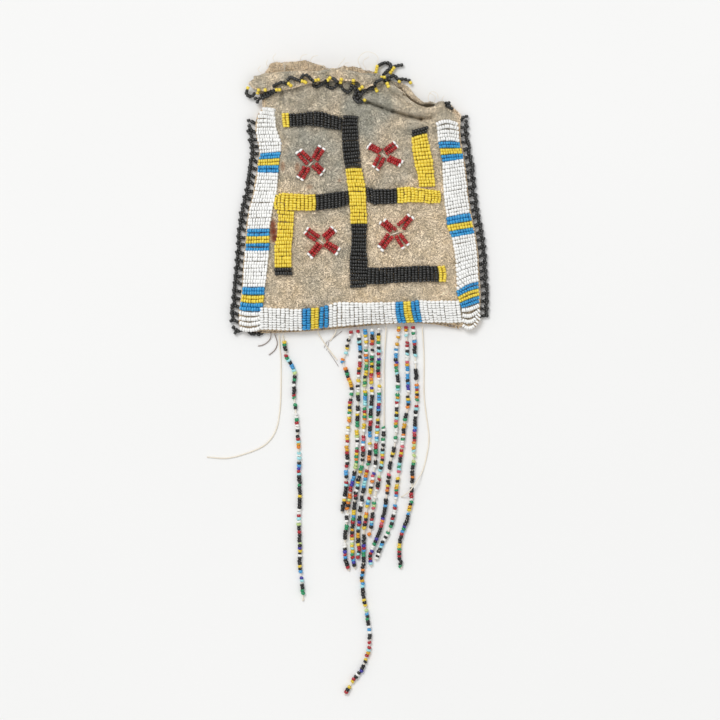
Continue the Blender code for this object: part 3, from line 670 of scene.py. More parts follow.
def row_of_beads(start, end, bow, count, diameter, finish):
    """Beads on one thread from start to end in the photo, bowed by a vector of pixels in the middle."""
    ends = spots([start, end]) + chance.normal(0, END_JITTER, (2, 2))
    middle = np.array([bow[0] * PIXEL, -bow[1] * PIXEL]) + chance.normal(0, BOW_JITTER, 2)
    shares = (np.arange(count) + 0.5) / count + chance.normal(0, 0.03 / count, count)
    flat = mix(ends[0], ends[1], shares[:, None]) + middle * (4 * shares * (1 - shares))[:, None]
    flat += chance.normal(0, BEAD_JITTER, flat.shape)
    height = front_height(*flat.T) + diameter * 0.46 + ROW_HUMP * np.sin(np.pi * shares)
    places = np.column_stack([flat, height])
    axes = np.gradient(places, axis=0) + chance.normal(0, AXIS_JITTER, places.shape)
    length = np.linalg.norm(ends[1] - ends[0]) / count
    return [
        (place, axis, length * chance.normal(0.99, 0.04), diameter * chance.normal(1, 0.04), finish)
        for place, axis in zip(places, axes)
    ]


def lane(stations, count):
    """Rows of beads, which change evenly from each station to the next."""
    beads = []
    full = [(*station, (0, 0))[:5] for station in stations]
    for (*here, rows, finish, bow), (*there, _, _, next_bow) in zip(full, full[1:]):
        here, there = np.array([*here, bow], float), np.array([*there, next_bow], float)
        pitch = np.linalg.norm((there[0] + there[1] - here[0] - here[1]) / 2) * PIXEL / rows
        diameter = min(pitch, BEAD_DIAMETER) * SNUG
        for row in range(rows):
            beads += row_of_beads(*mix(here, there, (row + 0.5) / rows), count, diameter, finish)
    return beads


# a station: both ends of a row in the photo, how many rows lie between it and the next, their finish
# (0 white, 1 blue, 2 yellow, 3 black), and its bow in pixels if it has one
LEFT_BORDER = [
    ((264.5, 108), (275, 109.3), 2, 0, (0, -1)),
    ((258.5, 115.2), (275.2, 117.5), 4, 0, (0, -1)),
    ((256.7, 131.5), (277.2, 131.5), 3, 0),
    ((258.6, 142.5), (281.8, 142.5), 3, 0),
    ((260.8, 154.2), (281, 152.2), 2, 1),
    ((259.2, 160), (279.9, 158.6), 2, 2),
    ((258.3, 166), (279.2, 165.4), 2, 1),
    ((258.3, 172.6), (278.4, 173.3), 5, 0),
    ((255.3, 191), (277.3, 191.7), 5, 0),
    ((249.7, 211), (272.8, 210.5), 5, 0),
    ((247.6, 229.4), (269.9, 229.1), 2, 1),
    ((247.2, 236.6), (270, 236.2), 2, 2),
    ((246.4, 243.9), (269.8, 243.6), 2, 1),
    ((245.6, 250.7), (269.4, 250.9), 5, 0),
    ((244.2, 268.5), (267.8, 268.5), 5, 0),
    ((243.2, 287.4), (265.4, 287.4), 2, 1),
    ((242.3, 294.7), (264.4, 295), 2, 2, (0, 0.5)),
    ((241, 302), (263.8, 302.6), 2, 1, (0, 1)),
    ((239.8, 310), (261, 311.3), 2, 0, (0, 1)),
    ((239.5, 320), (260.5, 320), 2, 0, (0, 2)),
    ((240.5, 331), (262.5, 329), 0, 0, (0, 2.5)),
]
RIGHT_BORDER = [
    ((456.5, 123), (435.5, 123), 2, 0, (0, -3.5)),
    ((458.2, 131.5), (436.8, 131.8), 3, 0, (0, -2)),
    ((459, 142.8), (438, 142.4), 2, 1, (0, -0.8)),
    ((460.5, 148.4), (439.2, 149), 2, 2, (0, -0.5)),
    ((462.3, 153.8), (440.8, 155.8), 2, 1, (0, -0.3)),
    ((463, 159.4), (442.3, 162.5), 5, 0),
    ((465.2, 177), (442.6, 181.5), 5, 0),
    ((467, 195.5), (443.9, 200), 5, 0),
    ((469.5, 213), (446.3, 217.6), 2, 1, (0, -0.3)),
    ((471.3, 221), (447.2, 225.6), 2, 2),
    ((472.8, 227.6), (448.7, 231.8), 2, 1),
    ((473.8, 233.6), (451.6, 237.8), 5, 0),
    ((476.3, 250), (454.8, 255.5), 4, 0),
    ((477, 266), (456.3, 273), 4, 0, (0, -1)),
    ((477.8, 281.9), (456.5, 291.6), 2, 1, (0, -1.6)),
    ((478.3, 288.6), (457.6, 297.3), 2, 2, (0, -1.3)),
    ((478.7, 295.6), (459.3, 303), 2, 1, (0, -0.5)),
    ((478.4, 303), (461.5, 308.2), 1, 0, (0, 1)),
    ((478.8, 307.8), (461.8, 312.4), 1, 0, (0, 2.2)),
    ((479.2, 312.2), (462.2, 317.2), 1, 0, (0, 3.8)),
    ((479.6, 315.6), (462.4, 322.2), 1, 0, (0, 5.6)),
    ((480, 318.2), (462.4, 326.8), 0, 0, (0.6, 7.6)),
]
BOTTOM_BORDER = [
    ((259.5, 307.5), (260, 329.3), 5, 0),
    ((281, 308.8), (281, 329.7), 5, 0),
    ((302.3, 309.3), (302.3, 330.1), 2, 1),
    ((310.9, 308.4), (310.6, 329.4), 2, 2),
    ((319.6, 307.6), (319.1, 328), 2, 1),
    ((328.6, 305.4), (328.2, 327.2), 2, 0),
    ((337.5, 302.2), (337.5, 326.2), 7, 0),
    ((366.5, 302.8), (367.5, 323.6), 7, 0),
    ((395.2, 302.3), (398, 322.7), 2, 1, (-0.6, 0)),
    ((403, 302.1), (406.2, 322.4), 2, 2, (-0.8, 0)),
    ((410.8, 301.5), (414.6, 321.9), 2, 1, (-1, 0)),
    ((418.6, 300.4), (422.4, 322.4), 4, 0, (-0.8, 0)),
    ((435, 301.2), (438, 322), 3, 0),
    ((447, 301), (450, 322.6), 3, 0),
    ((459, 300.6), (462, 322.4), 0, 0),
]
for name, stations in (
    ("left_border", LEFT_BORDER), ("right_border", RIGHT_BORDER), ("bottom_border", BOTTOM_BORDER),
):
    border = string_beads(name, lane(stations, BORDER_BEADS), [WHITE, BLUE, YELLOW])
    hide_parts(name + "_beads")
    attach(border, "pouch")

# Figure. Seven lanes of the same stitch in black and yellow: a post, and arms and ends that branch off
# it, each lane six or seven beads wide and pulled a little out of line by its thread.
# for each lane, the beads to a row, its slot and its stations
FIGURE = {
    "figure_post": (7, "black_beads", [
        ((343, 116), (358.5, 117), 3, 3),
        ((342.3, 127), (357.4, 126.5), 4, 3, (0, -0.3)),
        ((342, 142), (358.9, 141), 5, 3),
        ((343.4, 160.3), (360.2, 158.3), 2, 3, (0, -0.4)),
        ((345.5, 169.3), (361.3, 169), 4, 2, (0, -0.6)),
        ((347.1, 184), (365.1, 184), 3, 2, (0, -0.5)),
        ((349.2, 196.2), (365.9, 196.2), 8, 2),
        ((350.8, 224.2), (367.2, 224.2), 4, 3, (0, -0.4)),
        ((352, 238), (366.5, 238.3), 3, 3),
        ((350.8, 249), (366.3, 249), 4, 3),
        ((349.8, 263), (368, 264.5), 4, 3),
        ((349.8, 277), (367.3, 277), 3, 3),
        ((349.8, 288.5), (366.4, 287), 0, 3, (0, 0.6)),
    ]),
    "figure_top_arm": (6, "black_beads", [
        ((281.7, 113.8), (283.1, 128.2), 2, 2),
        ((288.9, 114.1), (289.8, 127.6), 3, 3),
        ((299, 114.4), (299.4, 127.1), 3, 3),
        ((310.1, 112.7), (310.1, 126.5), 3, 3),
        ((320.4, 112), (320.2, 127.7), 3, 3),
        ((331.2, 115.5), (330.5, 129.7), 3, 3),
        ((342, 118.6), (341.6, 131.3), 0, 3),
    ]),
    "figure_left_arm": (7, "yellow_beads", [
        ((276.5, 196), (275.2, 209.6), 2, 2, (-2.2, 0)),
        ((282.2, 193.4), (281, 210.8), 4, 2, (-0.8, 0)),
        ((297.5, 194.3), (296.8, 211.2), 5, 2),
        ((315.3, 195.4), (315.9, 211), 3, 3, (0.6, 0)),
        ((327.6, 193.4), (327.6, 209.8), 3, 3),
        ((338.2, 192.4), (338.2, 208.3), 3, 3),
        ((348.6, 191.3), (349.2, 205.7), 0, 3),
    ]),
    "figure_left_drop": (7, "yellow_beads", [
        ((277.6, 211), (294.2, 212.5), 2, 2),
        ((278.6, 218.5), (294, 219.2), 5, 2),
        ((277, 237.6), (293, 237.6), 2, 2),
        ((274.8, 245.2), (291.8, 244.6), 6, 2),
        ((274.9, 268), (291.6, 267.9), 2, 3),
        ((275.2, 275.9), (292.6, 275.6), 0, 3),
    ]),
    "figure_right_arm": (6, "yellow_beads", [
        ((366, 187.4), (367.4, 201.8), 2, 3),
        ((372.4, 189.6), (373.4, 205), 5, 3),
        ((390.1, 189.6), (390.1, 204.6), 2, 3),
        ((396.9, 188.5), (397.2, 204), 3, 2),
        ((406.5, 187), (406.9, 202.9), 4, 2, (0.8, 0)),
        ((420.9, 189.2), (420.4, 202.9), 3, 2, (0.8, 0)),
        ((430.6, 190.2), (430.2, 203.8), 3, 2, (0.9, 0)),
        ((439.4, 191.2), (439.8, 203.4), 0, 2, (1.6, 0)),
    ]),
    "figure_right_rise": (6, "yellow_beads", [
        ((418.7, 187.6), (434.9, 187.1), 4, 2),
        ((417.2, 174.6), (433.8, 174), 3, 2),
        ((414.4, 164.7), (432.6, 162.8), 4, 2),
        ((411.9, 150), (429.6, 148.2), 4, 2),
        ((411.6, 138.3), (426.6, 133.4), 2, 3),
        ((411.3, 131), (428.2, 126.2), 0, 3, (0, -0.4)),
    ]),
    "figure_foot_arm": (7, "black_beads", [
        ((367.3, 267.6), (367.0, 284.5), 4, 3),
        ((383.1, 267.8), (383.1, 284.3), 4, 3),
        ((397.1, 267.1), (397.1, 282.8), 6, 3),
        ((418.2, 265.7), (418.2, 282.4), 5, 3),
        ((437, 266.4), (438.4, 282), 2, 2, (0.5, 0)),
        ((444.3, 265.7), (445.3, 281.8), 0, 2, (1.8, 0)),
    ]),
}
for name, (count, slot, stations) in FIGURE.items():
    piece = string_beads(name + "_beads", lane(stations, count), [WHITE, BLUE, YELLOW, BLACK])
    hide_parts(name)
    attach(piece, "pouch")

# Crosses. Four arms of two rows each in cranberry glass, a white bead at each tip, drawn together in the
# middle by one slanting stitch of pale thread.
THREAD_DIAMETER = 0.0006
CROSS_BEADS = 7             # to a row, six red ones and a white one at the tip
CROSS_DIAMETER = 0.0021
RED_LENGTH = 0.9            # of the room that a red bead has
CROSS_BOW = 0.7             # pixels at most
STITCH_HUMP = 0.0010


def spun_thread(name, light, dark):
    """Two-ply sewing thread, waxed by hand: matt, with the twist as slanting ribs."""
    made, tree, shader = new_material(name, 0.8, 1.5)
    place = add_node(tree, "TexCoord", {}).outputs["Object"]
    # the ribs lie 1.6 mm apart along a thread
    twist = add_node(
        tree, "TexWave", {"Vector": place, "Scale": 400, "Distortion": 1.5, "Detail": 1},
        bands_direction="DIAGONAL",
    )
    wear = add_node(tree, "TexNoise", {"Vector": place, "Scale": 300, "Detail": 3})
    worn = add_node(
        tree, "Mix", {"Factor": wear.outputs["Fac"], FIRST: light, SECOND: dark}, data_type="RGBA"
    )
    tree.links.new(worn.outputs[MIXED], shader.inputs["Base Color"])
    bump = add_node(tree, "Bump", {"Height": twist.outputs["Fac"], "Strength": 0.4, "Distance": 0.00008})
    tree.links.new(bump.outputs[0], shader.inputs["Normal"])
    return made


PALE_THREAD = spun_thread("waxed cotton thread", "#F6F0E4", "#E3D6BF")


def thread(name, points, diameter, finish):
    """A round thread, as a curve of one open spline."""
    curve = bpy.data.curves.new(name, "CURVE")
    curve.dimensions = "3D"
    curve.bevel_depth = diameter / 2
    curve.bevel_resolution = 2
    curve.use_fill_caps = True
    spline = curve.splines.new("POLY")
    spline.points.add(len(points) - 1)
    spline.points.foreach_set("co", np.column_stack([points, np.ones(len(points))]).ravel())
    spline.use_smooth = True
    curve.materials.append(finish)
    return put(name, curve)


# each row's inner end and tip, in pairs for the arms up left, up right, down right and down left,
# and the ends of the stitch
CROSSES = {
    "red_cross_upper_left": (
        [((311.9, 161.8), (300.2, 150.2)), ((308, 164.8), (296.7, 152.3))],
        [((313.2, 159), (320.5, 145.8)), ((316.4, 161.6), (324.3, 148.6))],
        [((315.9, 163.7), (324.9, 172)), ((312, 166.2), (321.9, 175.9))],
        [((304.8, 167), (298, 178.6)), ((309, 168), (301.9, 181.4))],
        [(313.6, 161.9), (307.6, 167.6)],
    ),
    "red_cross_upper_right": (
        [((381.1, 151), (369.3, 144.4)), ((379, 153.2), (366.9, 147.4))],
        [((383.9, 151.4), (395.2, 142.9)), ((386.3, 154.6), (397.8, 146.3))],
        [((389, 157.4), (403, 162.6)), ((386.9, 160.2), (400.2, 166.5))],
        [((380, 155.7), (373.3, 168.1)), ((383.9, 157.8), (376.9, 171.3))],
        [(381.7, 153.4), (386.6, 159.2)],
    ),
    "red_cross_lower_left": (
        [((319.8, 237.3), (306.7, 228.2)), ((316.4, 240.6), (304.3, 232))],
        [((322.6, 237), (332.9, 227.4)), ((326, 240.2), (336.4, 231.2))],
        [((326.2, 242), (340.2, 250.2)), ((323.6, 245.2), (337.3, 254.7))],
        [((318.5, 242.8), (307.8, 255.4)), ((321.6, 245.3), (310.9, 258.6))],
        [(318.8, 240), (325, 245.4)],
    ),
    "red_cross_lower_right": (
        [((396.2, 230.4), (383.8, 219.8)), ((391, 232.6), (379.2, 222.6))],
        [((397.4, 226.2), (409.2, 214.9)), ((402.9, 229.8), (413.4, 217.3))],
        [((399.7, 234.2), (408.5, 245.8)), ((395.9, 236.3), (404, 249.2))],
        [((388.2, 234.3), (378.3, 248)), ((392.6, 236.9), (381.3, 251.4))],
        [(390.8, 235.4), (398.9, 232.4)],
    ),
}
for name, (*arms, stitch) in CROSSES.items():
    beads = []
    for start, tip in (row for arm in arms for row in arm):
        outward = np.array(tip) - start
        aside = np.array([outward[1], -outward[0]]) / np.linalg.norm(outward)
        bow = aside * chance.uniform(-CROSS_BOW, CROSS_BOW)
        row = row_of_beads(start, tip, bow, CROSS_BEADS, CROSS_DIAMETER, 0)
        beads += [(*bead[:2], bead[2] * RED_LENGTH, *bead[3:]) for bead in row[:-1]] + [(*row[-1][:4], 1)]
    piece = string_beads(name + "_beads", beads, [RED, WHITE])
    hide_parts(name)
    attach(piece, "pouch")
    shares = np.linspace(0, 1, 9)
    flat = mix(*spots(stitch), shares[:, None])
    height = front_height(*flat.T) + STITCH_HUMP * np.sin(np.pi * shares)
    knot = thread(name + "_stitch", np.column_stack([flat, height]), THREAD_DIAMETER, PALE_THREAD)
    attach(knot, "pouch")

# Seam stitches. Whip stitches of tan thread, a brown one here and there, bind the raw edges of both hides
# along the bottom. Short stubs of pale thread come out between them, and the fringe hangs from those.
STITCH_DIAMETER = 0.0005
STITCH_PITCH = 0.0026
HALF_BOTTOM = 0.0612        # half of the bottom seam's length
STITCH_TURN = 0.62 * np.pi  # how far to each side of the outermost point a stitch is drawn
STITCH_HEIGHT = 0.00155
STITCH_LEAN = (0.0009, 0.0003)          # how far it slants along the seam, and how much that varies
RUNNING_WAVE = 0.0006       # the running thread under the stitches goes up and down by this
STUB_DIAMETER = 0.0004
# how far above its root a stub starts and bends, and where it stops for a strand or for a long loose end
STUB_START = 0.0021
STUB_BEND = 0.0012
STRAND_STUB_END = 0.00035
TAIL_STUB_END = 0.0008
STRAND_COLUMNS = [283, 351, 358, 365, 372, 379, 386, 399, 406, 413]
TAIL_COLUMNS = [279, 422]
BROWN_THREAD = spun_thread("brown cotton thread", "#97857B", "#6E5F57")
TAN_THREAD = spun_thread("smoke-tanned sewing thread", "#DAC5A4", "#B59A77")


def seam_root(x):
    """Where a thread comes out of the bottom seam."""
    out = 2 * GAP + STITCH_DIAMETER + THREAD_DIAMETER / 2
    return np.array([x, BOTTOM_Y + climb(across_at(x, 0), 0) - out, SEAM_Z - GAP / 2])


def joined(name, pieces):
    """Several threads made into one mesh."""
    bpy.context.view_layer.update()
    for piece in pieces:
        only(piece)
        bpy.ops.object.convert(target="MESH")
    for piece in pieces:
        piece.select_set(True)
    bpy.ops.object.join()
    made = bpy.context.object
    made.name = made.data.name = name
    return made


loops = []
turns = np.linspace(-STITCH_TURN, STITCH_TURN, 9)
for k, across in enumerate(np.arange(-0.93, 0.94, STITCH_PITCH / HALF_BOTTOM)):
    across += chance.normal(0, 0.006)
    lean = chance.normal(*STITCH_LEAN)
    x, y = body_place(across, 0)
    reach = 0.0006 + 0.0005 * chance.random()
    line = np.column_stack([
        x + lean * turns / np.pi,
        y + reach * (1 - np.cos(turns)),
        SEAM_Z + STITCH_HEIGHT * np.sin(turns * 0.8),
    ])
    loops.append(thread("stitch", line, STITCH_DIAMETER, TAN_THREAD if k % 7 else BROWN_THREAD))
x, y = body_place(np.linspace(-0.9, 0.9, 60), 0)
line = np.column_stack([x, y + 0.0001, SEAM_Z + RUNNING_WAVE * np.sin(np.arange(60) * 1.7)])
loops.append(thread("stitch", line, STITCH_DIAMETER, TAN_THREAD))
for px in STRAND_COLUMNS + TAIL_COLUMNS:
    # each hanging thread leaves the seam here, and bends where its strand or long end starts
    x, y, z = seam_root(spot(px, 0)[0])
    stop = TAIL_STUB_END if px in TAIL_COLUMNS else STRAND_STUB_END
    line = np.array([[x, y + far, z] for far in (STUB_START, STUB_BEND, stop)])
    loops.append(thread("stitch", line, STUB_DIAMETER, PALE_THREAD))
stitches = joined("bottom_seam_stitches", loops)
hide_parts("bottom_seam_stitching")
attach(stitches, "pouch")

# Side edgings. Black seed beads sewn over the side seams as picots: two beads out from the hide, and
# three along it to the next picot's two. The last picot stops at its third bead.
EDGING_DIAMETER = 0.0019
EDGING_LENGTH = 0.0015
PICOT_PITCH = 0.0038
# how far a picot's later beads dip back to the seam and how its first ones slant, and how much that varies
PICOT_DIP = (0.0007, 0.0003)
PICOT_SLANT = (0.25, 0.15)
# the left edging runs on under the corner: each bead's place, and how much it turns
CORNER_BEADS = [
    (249.6, 332.4, -0.5), (252, 333.8, -0.4), (254.6, 334.3, 0.1), (257, 333.4, 0.5),
    (258.6, 334.8, -0.2), (261.2, 333.6, 0.5), (263.2, 332.4, 0.4),
]
CORNER_HEIGHT = 0.0011
for side, name, low, high, reach in (
    (-1, "left_edging", 0.0015, 0.1046, 0.0037), (1, "right_edging", 0.0070, 0.1063, 0.0035),
):
    beads = []
    count = round((high - low) / PICOT_PITCH)
    for k in range(count + 1):
        up = mix(low, high, k / count) + chance.normal(0, 0.00015)
        root, ahead = (np.array([*body_place(side, at), SEAM_Z]) for at in (up, up + 0.003))
        along = (ahead - root) / np.linalg.norm(ahead - root)
        out = side * np.array([along[1], -along[0], 0])
        dip = chance.normal(*PICOT_DIP)
        slant = chance.normal(*PICOT_SLANT)
        # each bead's offset from the seam, its axis and its size
        plan = [
            (out * 0.0006, out + along * slant, 0.95),
            (out * 0.0020 + along * slant * 0.0014, out + along * slant, 1.0),
            (out * reach + along * 0.0005, out * 0.5 + along, 1.05),
            (out * (reach - dip) + along * 0.0018, along - out * 0.5, 1.0),
            (out * (reach - dip * 0.7) + along * 0.0031, along + out * 0.5, 1.0),
        ]
        if k == count:
            plan = plan[:3]
        for offset, axis, size in plan:
            place = root + offset + chance.normal(0, 0.0001, 3)
            axis = axis + chance.normal(0, 0.08, 3)
            beads.append((place, axis, EDGING_LENGTH, EDGING_DIAMETER * size * chance.normal(1, 0.04), 0))
    if side < 0:
        for px, py, turn in CORNER_BEADS:
            place = np.array([*spot(px, py), CORNER_HEIGHT]) + chance.normal(0, 0.00012, 3)
            axis = np.array([1, turn, 0]) + chance.normal(0, 0.2, 3)
            beads.append((place, axis, EDGING_LENGTH, EDGING_DIAMETER * chance.normal(0.95, 0.04), 0))
    edging = string_beads(name + "_beads", beads, [BLACK])
    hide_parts(name)
    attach(edging, "pouch")

# Mouth edging. Loops of black beads along the cuff and the back's edge, with one to three yellow beads
# where they meet the hide, and black ones alone at the right corner. They have come loose and lie as they
# fell.
CUFF_LOOPS = [
    [(247, 91), (246.6, 94.2), (249, 96.3), (251.8, 96.7), (254.3, 94.4)],
    [(256, 99.1), (258.2, 101.9), (259.4, 99.2), (262.5, 98.2)],
    [(262, 95.6), (265.5, 94.8), (269.5, 93.2), (273.6, 91.5)],
    [(262.8, 98), (267, 96.6), (270.8, 94.6), (275, 92.4)],
    [(274.3, 87), (276.6, 85.2), (280, 83.8), (284, 83.7), (286.6, 84.6)],
    [(288, 80.4), (290.4, 78.8), (293.2, 79.1), (296, 80.3), (299.8, 82)],
    [(302, 78.4), (303.2, 76.2), (305.9, 76.3), (308.7, 77.7), (311, 80.2), (313.6, 82)],
    [(314.3, 84), (314.8, 87.2), (317.8, 87.2), (321.3, 85.8), (324.1, 83.7), (325.6, 81.9)],
    [(327, 84.4), (327.8, 87.9), (331.1, 89.2), (334.6, 88.2), (337.2, 85.6)],
    [(336.6, 82.4), (333.6, 79.7)],
    [(341, 86.5), (343, 89.6), (346.2, 92.3), (349.2, 93), (351, 89.6), (352, 86.4)],
    [(353.3, 87.5), (355.9, 91.5), (355, 95.5), (354.3, 98.8), (356.6, 101.8), (360.2, 101.6)],
    [(357.5, 99), (360.5, 96.4), (362.6, 93.8), (365.3, 91.8), (368, 90), (372.8, 89.5)],
    [(356.5, 88.6), (358.6, 91.6), (359, 95)],
    [(358.3, 103), (362, 102.2)],
    [(374.4, 87.4), (375.6, 84.6), (377.6, 82.4), (379.4, 81.4), (381.6, 80.9)],
]
# yellow beads, mostly in pairs: place, turn in degrees and how many
CUFF_PAIRS = [
    (248, 88.2, 70, 1), (258.3, 92, 72, 2), (265.5, 90.7, 5, 1), (278.4, 90.7, 0, 2),
    (290, 85.8, -42, 2), (303.4, 82.4, -15, 2), (305.9, 83.6, 60, 1), (317.1, 81.2, 15, 2),
    (329, 80.2, 45, 2), (341, 82, 75, 2), (353.3, 83.1, 85, 2), (361, 89.1, 35, 2), (376, 90.3, -62, 2),
    (364.5, 100.8, 40, 1),
]
BACK_LOOPS = [
    [(383.4, 80.6), (386.4, 81.1), (389.2, 80)],
    [(388.6, 77.6), (390.8, 76.6), (393, 75.6), (395.4, 77), (397.4, 79.4)],
    [(399.6, 79.6), (402.6, 79), (406, 79.7), (409, 80.8)],
    [(379.7, 64.9), (382.8, 63.5), (386.8, 62.8), (390.4, 64.6), (390.4, 68), (387, 71.4), (384, 74.6)],
    [(395, 66.3), (398.2, 65.2), (401.4, 65)],
]
BACK_PAIRS = [
    (382.8, 77.7, 0, 2), (376.6, 69.4, 78, 3), (392.2, 70.4, 55, 3), (399.2, 82, 60, 1),
    (410.4, 82.8, 30, 1),
]
LIP_PAIRS = [(387.6, 85.8, -68, 2)]
CORNER_LOOP = [[(446, 103.6), (448.4, 103.2), (449.4, 106)], [(447, 106.4), (451.6, 108.2)]]
# the loops drop from the cuff to the front, and left of DROOP_X towards the table
CUFF_STEP_LENGTH = 0.0015
DROOP_X = spot(257, 0)[0]
DROOP_LENGTHS = (0.005, 0.003)
DROOP_HEIGHT = 0.0010
# behind the front's lip they lie on the back hide, and past its edge they sink to the table
BACK_BEADS_HEIGHT = 0.0024
TABLE_BEADS_HEIGHT = 0.0006
SINK_LENGTH = 0.004
LIP_STEP_LENGTH = 0.002


def distance_along(points):
    """How far along a line of points each one lies."""
    return np.concatenate([[0], np.cumsum(np.linalg.norm(np.diff(points, axis=0), axis=1))])


def point_at(wanted, along, points):
    """The places at one or more distances along a line."""
    return np.stack([np.interp(wanted, along, values) for values in points.T], -1)


def smooth_route(points, step):
    """Points about one step apart on a smooth curve through the given ones."""
    points = np.array(points, float)
    ends = [points[0] * 2 - points[1], *points, points[-1] * 2 - points[-2]]
    s = (np.arange(12) / 12)[:, None]
    fine = [
        (a * 2 + (b - before) * s + (before * 2 - a * 5 + b * 4 - after) * s ** 2
         + (a * 3 - b * 3 + after - before) * s ** 3) / 2
        for before, a, b, after in zip(ends, ends[1:], ends[2:], ends[3:])
    ]
    fine = np.vstack([*fine, points[-1:]])
    along = distance_along(fine)
    return point_at(np.linspace(0, along[-1], max(round(along[-1] / step), 2) + 1), along, fine)


def loops_and_pairs(loops, pairs, height_at):
    """Black beads along each loop, and the yellow beads between them in short straight rows."""
    beads = []
    for loop in loops:
        flat = spots(loop)
        line = smooth_route(np.column_stack([flat, np.zeros(len(flat))]), EDGING_LENGTH * 0.95)
        line[:, 2] = height_at(line[:, 0], line[:, 1]) + EDGING_DIAMETER * 0.5
        line += chance.normal(0, 0.0001, line.shape)
        for place, axis in zip(line, np.gradient(line, axis=0)):
            axis = axis / np.linalg.norm(axis) + chance.normal(0, 0.12, 3)
            beads.append((place, axis, EDGING_LENGTH, EDGING_DIAMETER * chance.normal(1, 0.05), 0))
    for px, py, turn, count in pairs:
        centre = np.array(spot(px, py))
        way = np.array([math.cos(math.radians(turn)), math.sin(math.radians(turn))])
        for k in range(count):
            x, y = centre + way * EDGING_LENGTH * (k - (count - 1) / 2)
            place = np.array([x, y, height_at(x, y) + EDGING_DIAMETER * 0.55])
            beads.append((place, np.array([*way, 0.05]), EDGING_LENGTH, EDGING_DIAMETER * 0.95, 1))
    return beads


def on_cuff(x, y):
    """The cuff's outer face, which drops to the front hide past its cut edge."""
    past = line_y(cuff_edge, x) - y
    face = cuff_height(x, y) + HIDE_THICKNESS / 2
    height = mix(face, front_height(x, y), ease(past / CUFF_STEP_LENGTH))
    droop = ease((DROOP_X - x) / DROOP_LENGTHS[0]) * ease(past / DROOP_LENGTHS[1])
    return mix(height, DROOP_HEIGHT, droop)


def on_back(x, y):
    """The back hide's face behind the front's lip."""
    inside = line_y(lip_edge, x) - y
    low = mix(BACK_BEADS_HEIGHT, TABLE_BEADS_HEIGHT, ease((y - line_y(back_edge, x)) / SINK_LENGTH))
    return mix(low, front_height(x, y), ease(inside / LIP_STEP_LENGTH + 0.5))


for name, node, body, loops, pairs, height_at in (
    ("cuff_edging_beads", "cuff_edging", "cuff", CUFF_LOOPS, CUFF_PAIRS, on_cuff),
    ("back_mouth_beads", "back_mouth_edging", "pouch", BACK_LOOPS, BACK_PAIRS, on_back),
    ("lip_edge_beads", None, "lip", [], LIP_PAIRS, front_height),
    ("mouth_corner_loop", "mouth_corner_beads", "lip", CORNER_LOOP, [], front_height),
):
    piece = string_beads(name, loops_and_pairs(loops, pairs, height_at), [BLACK, YELLOW])
    if node:
        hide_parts(node)
    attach(piece, body)

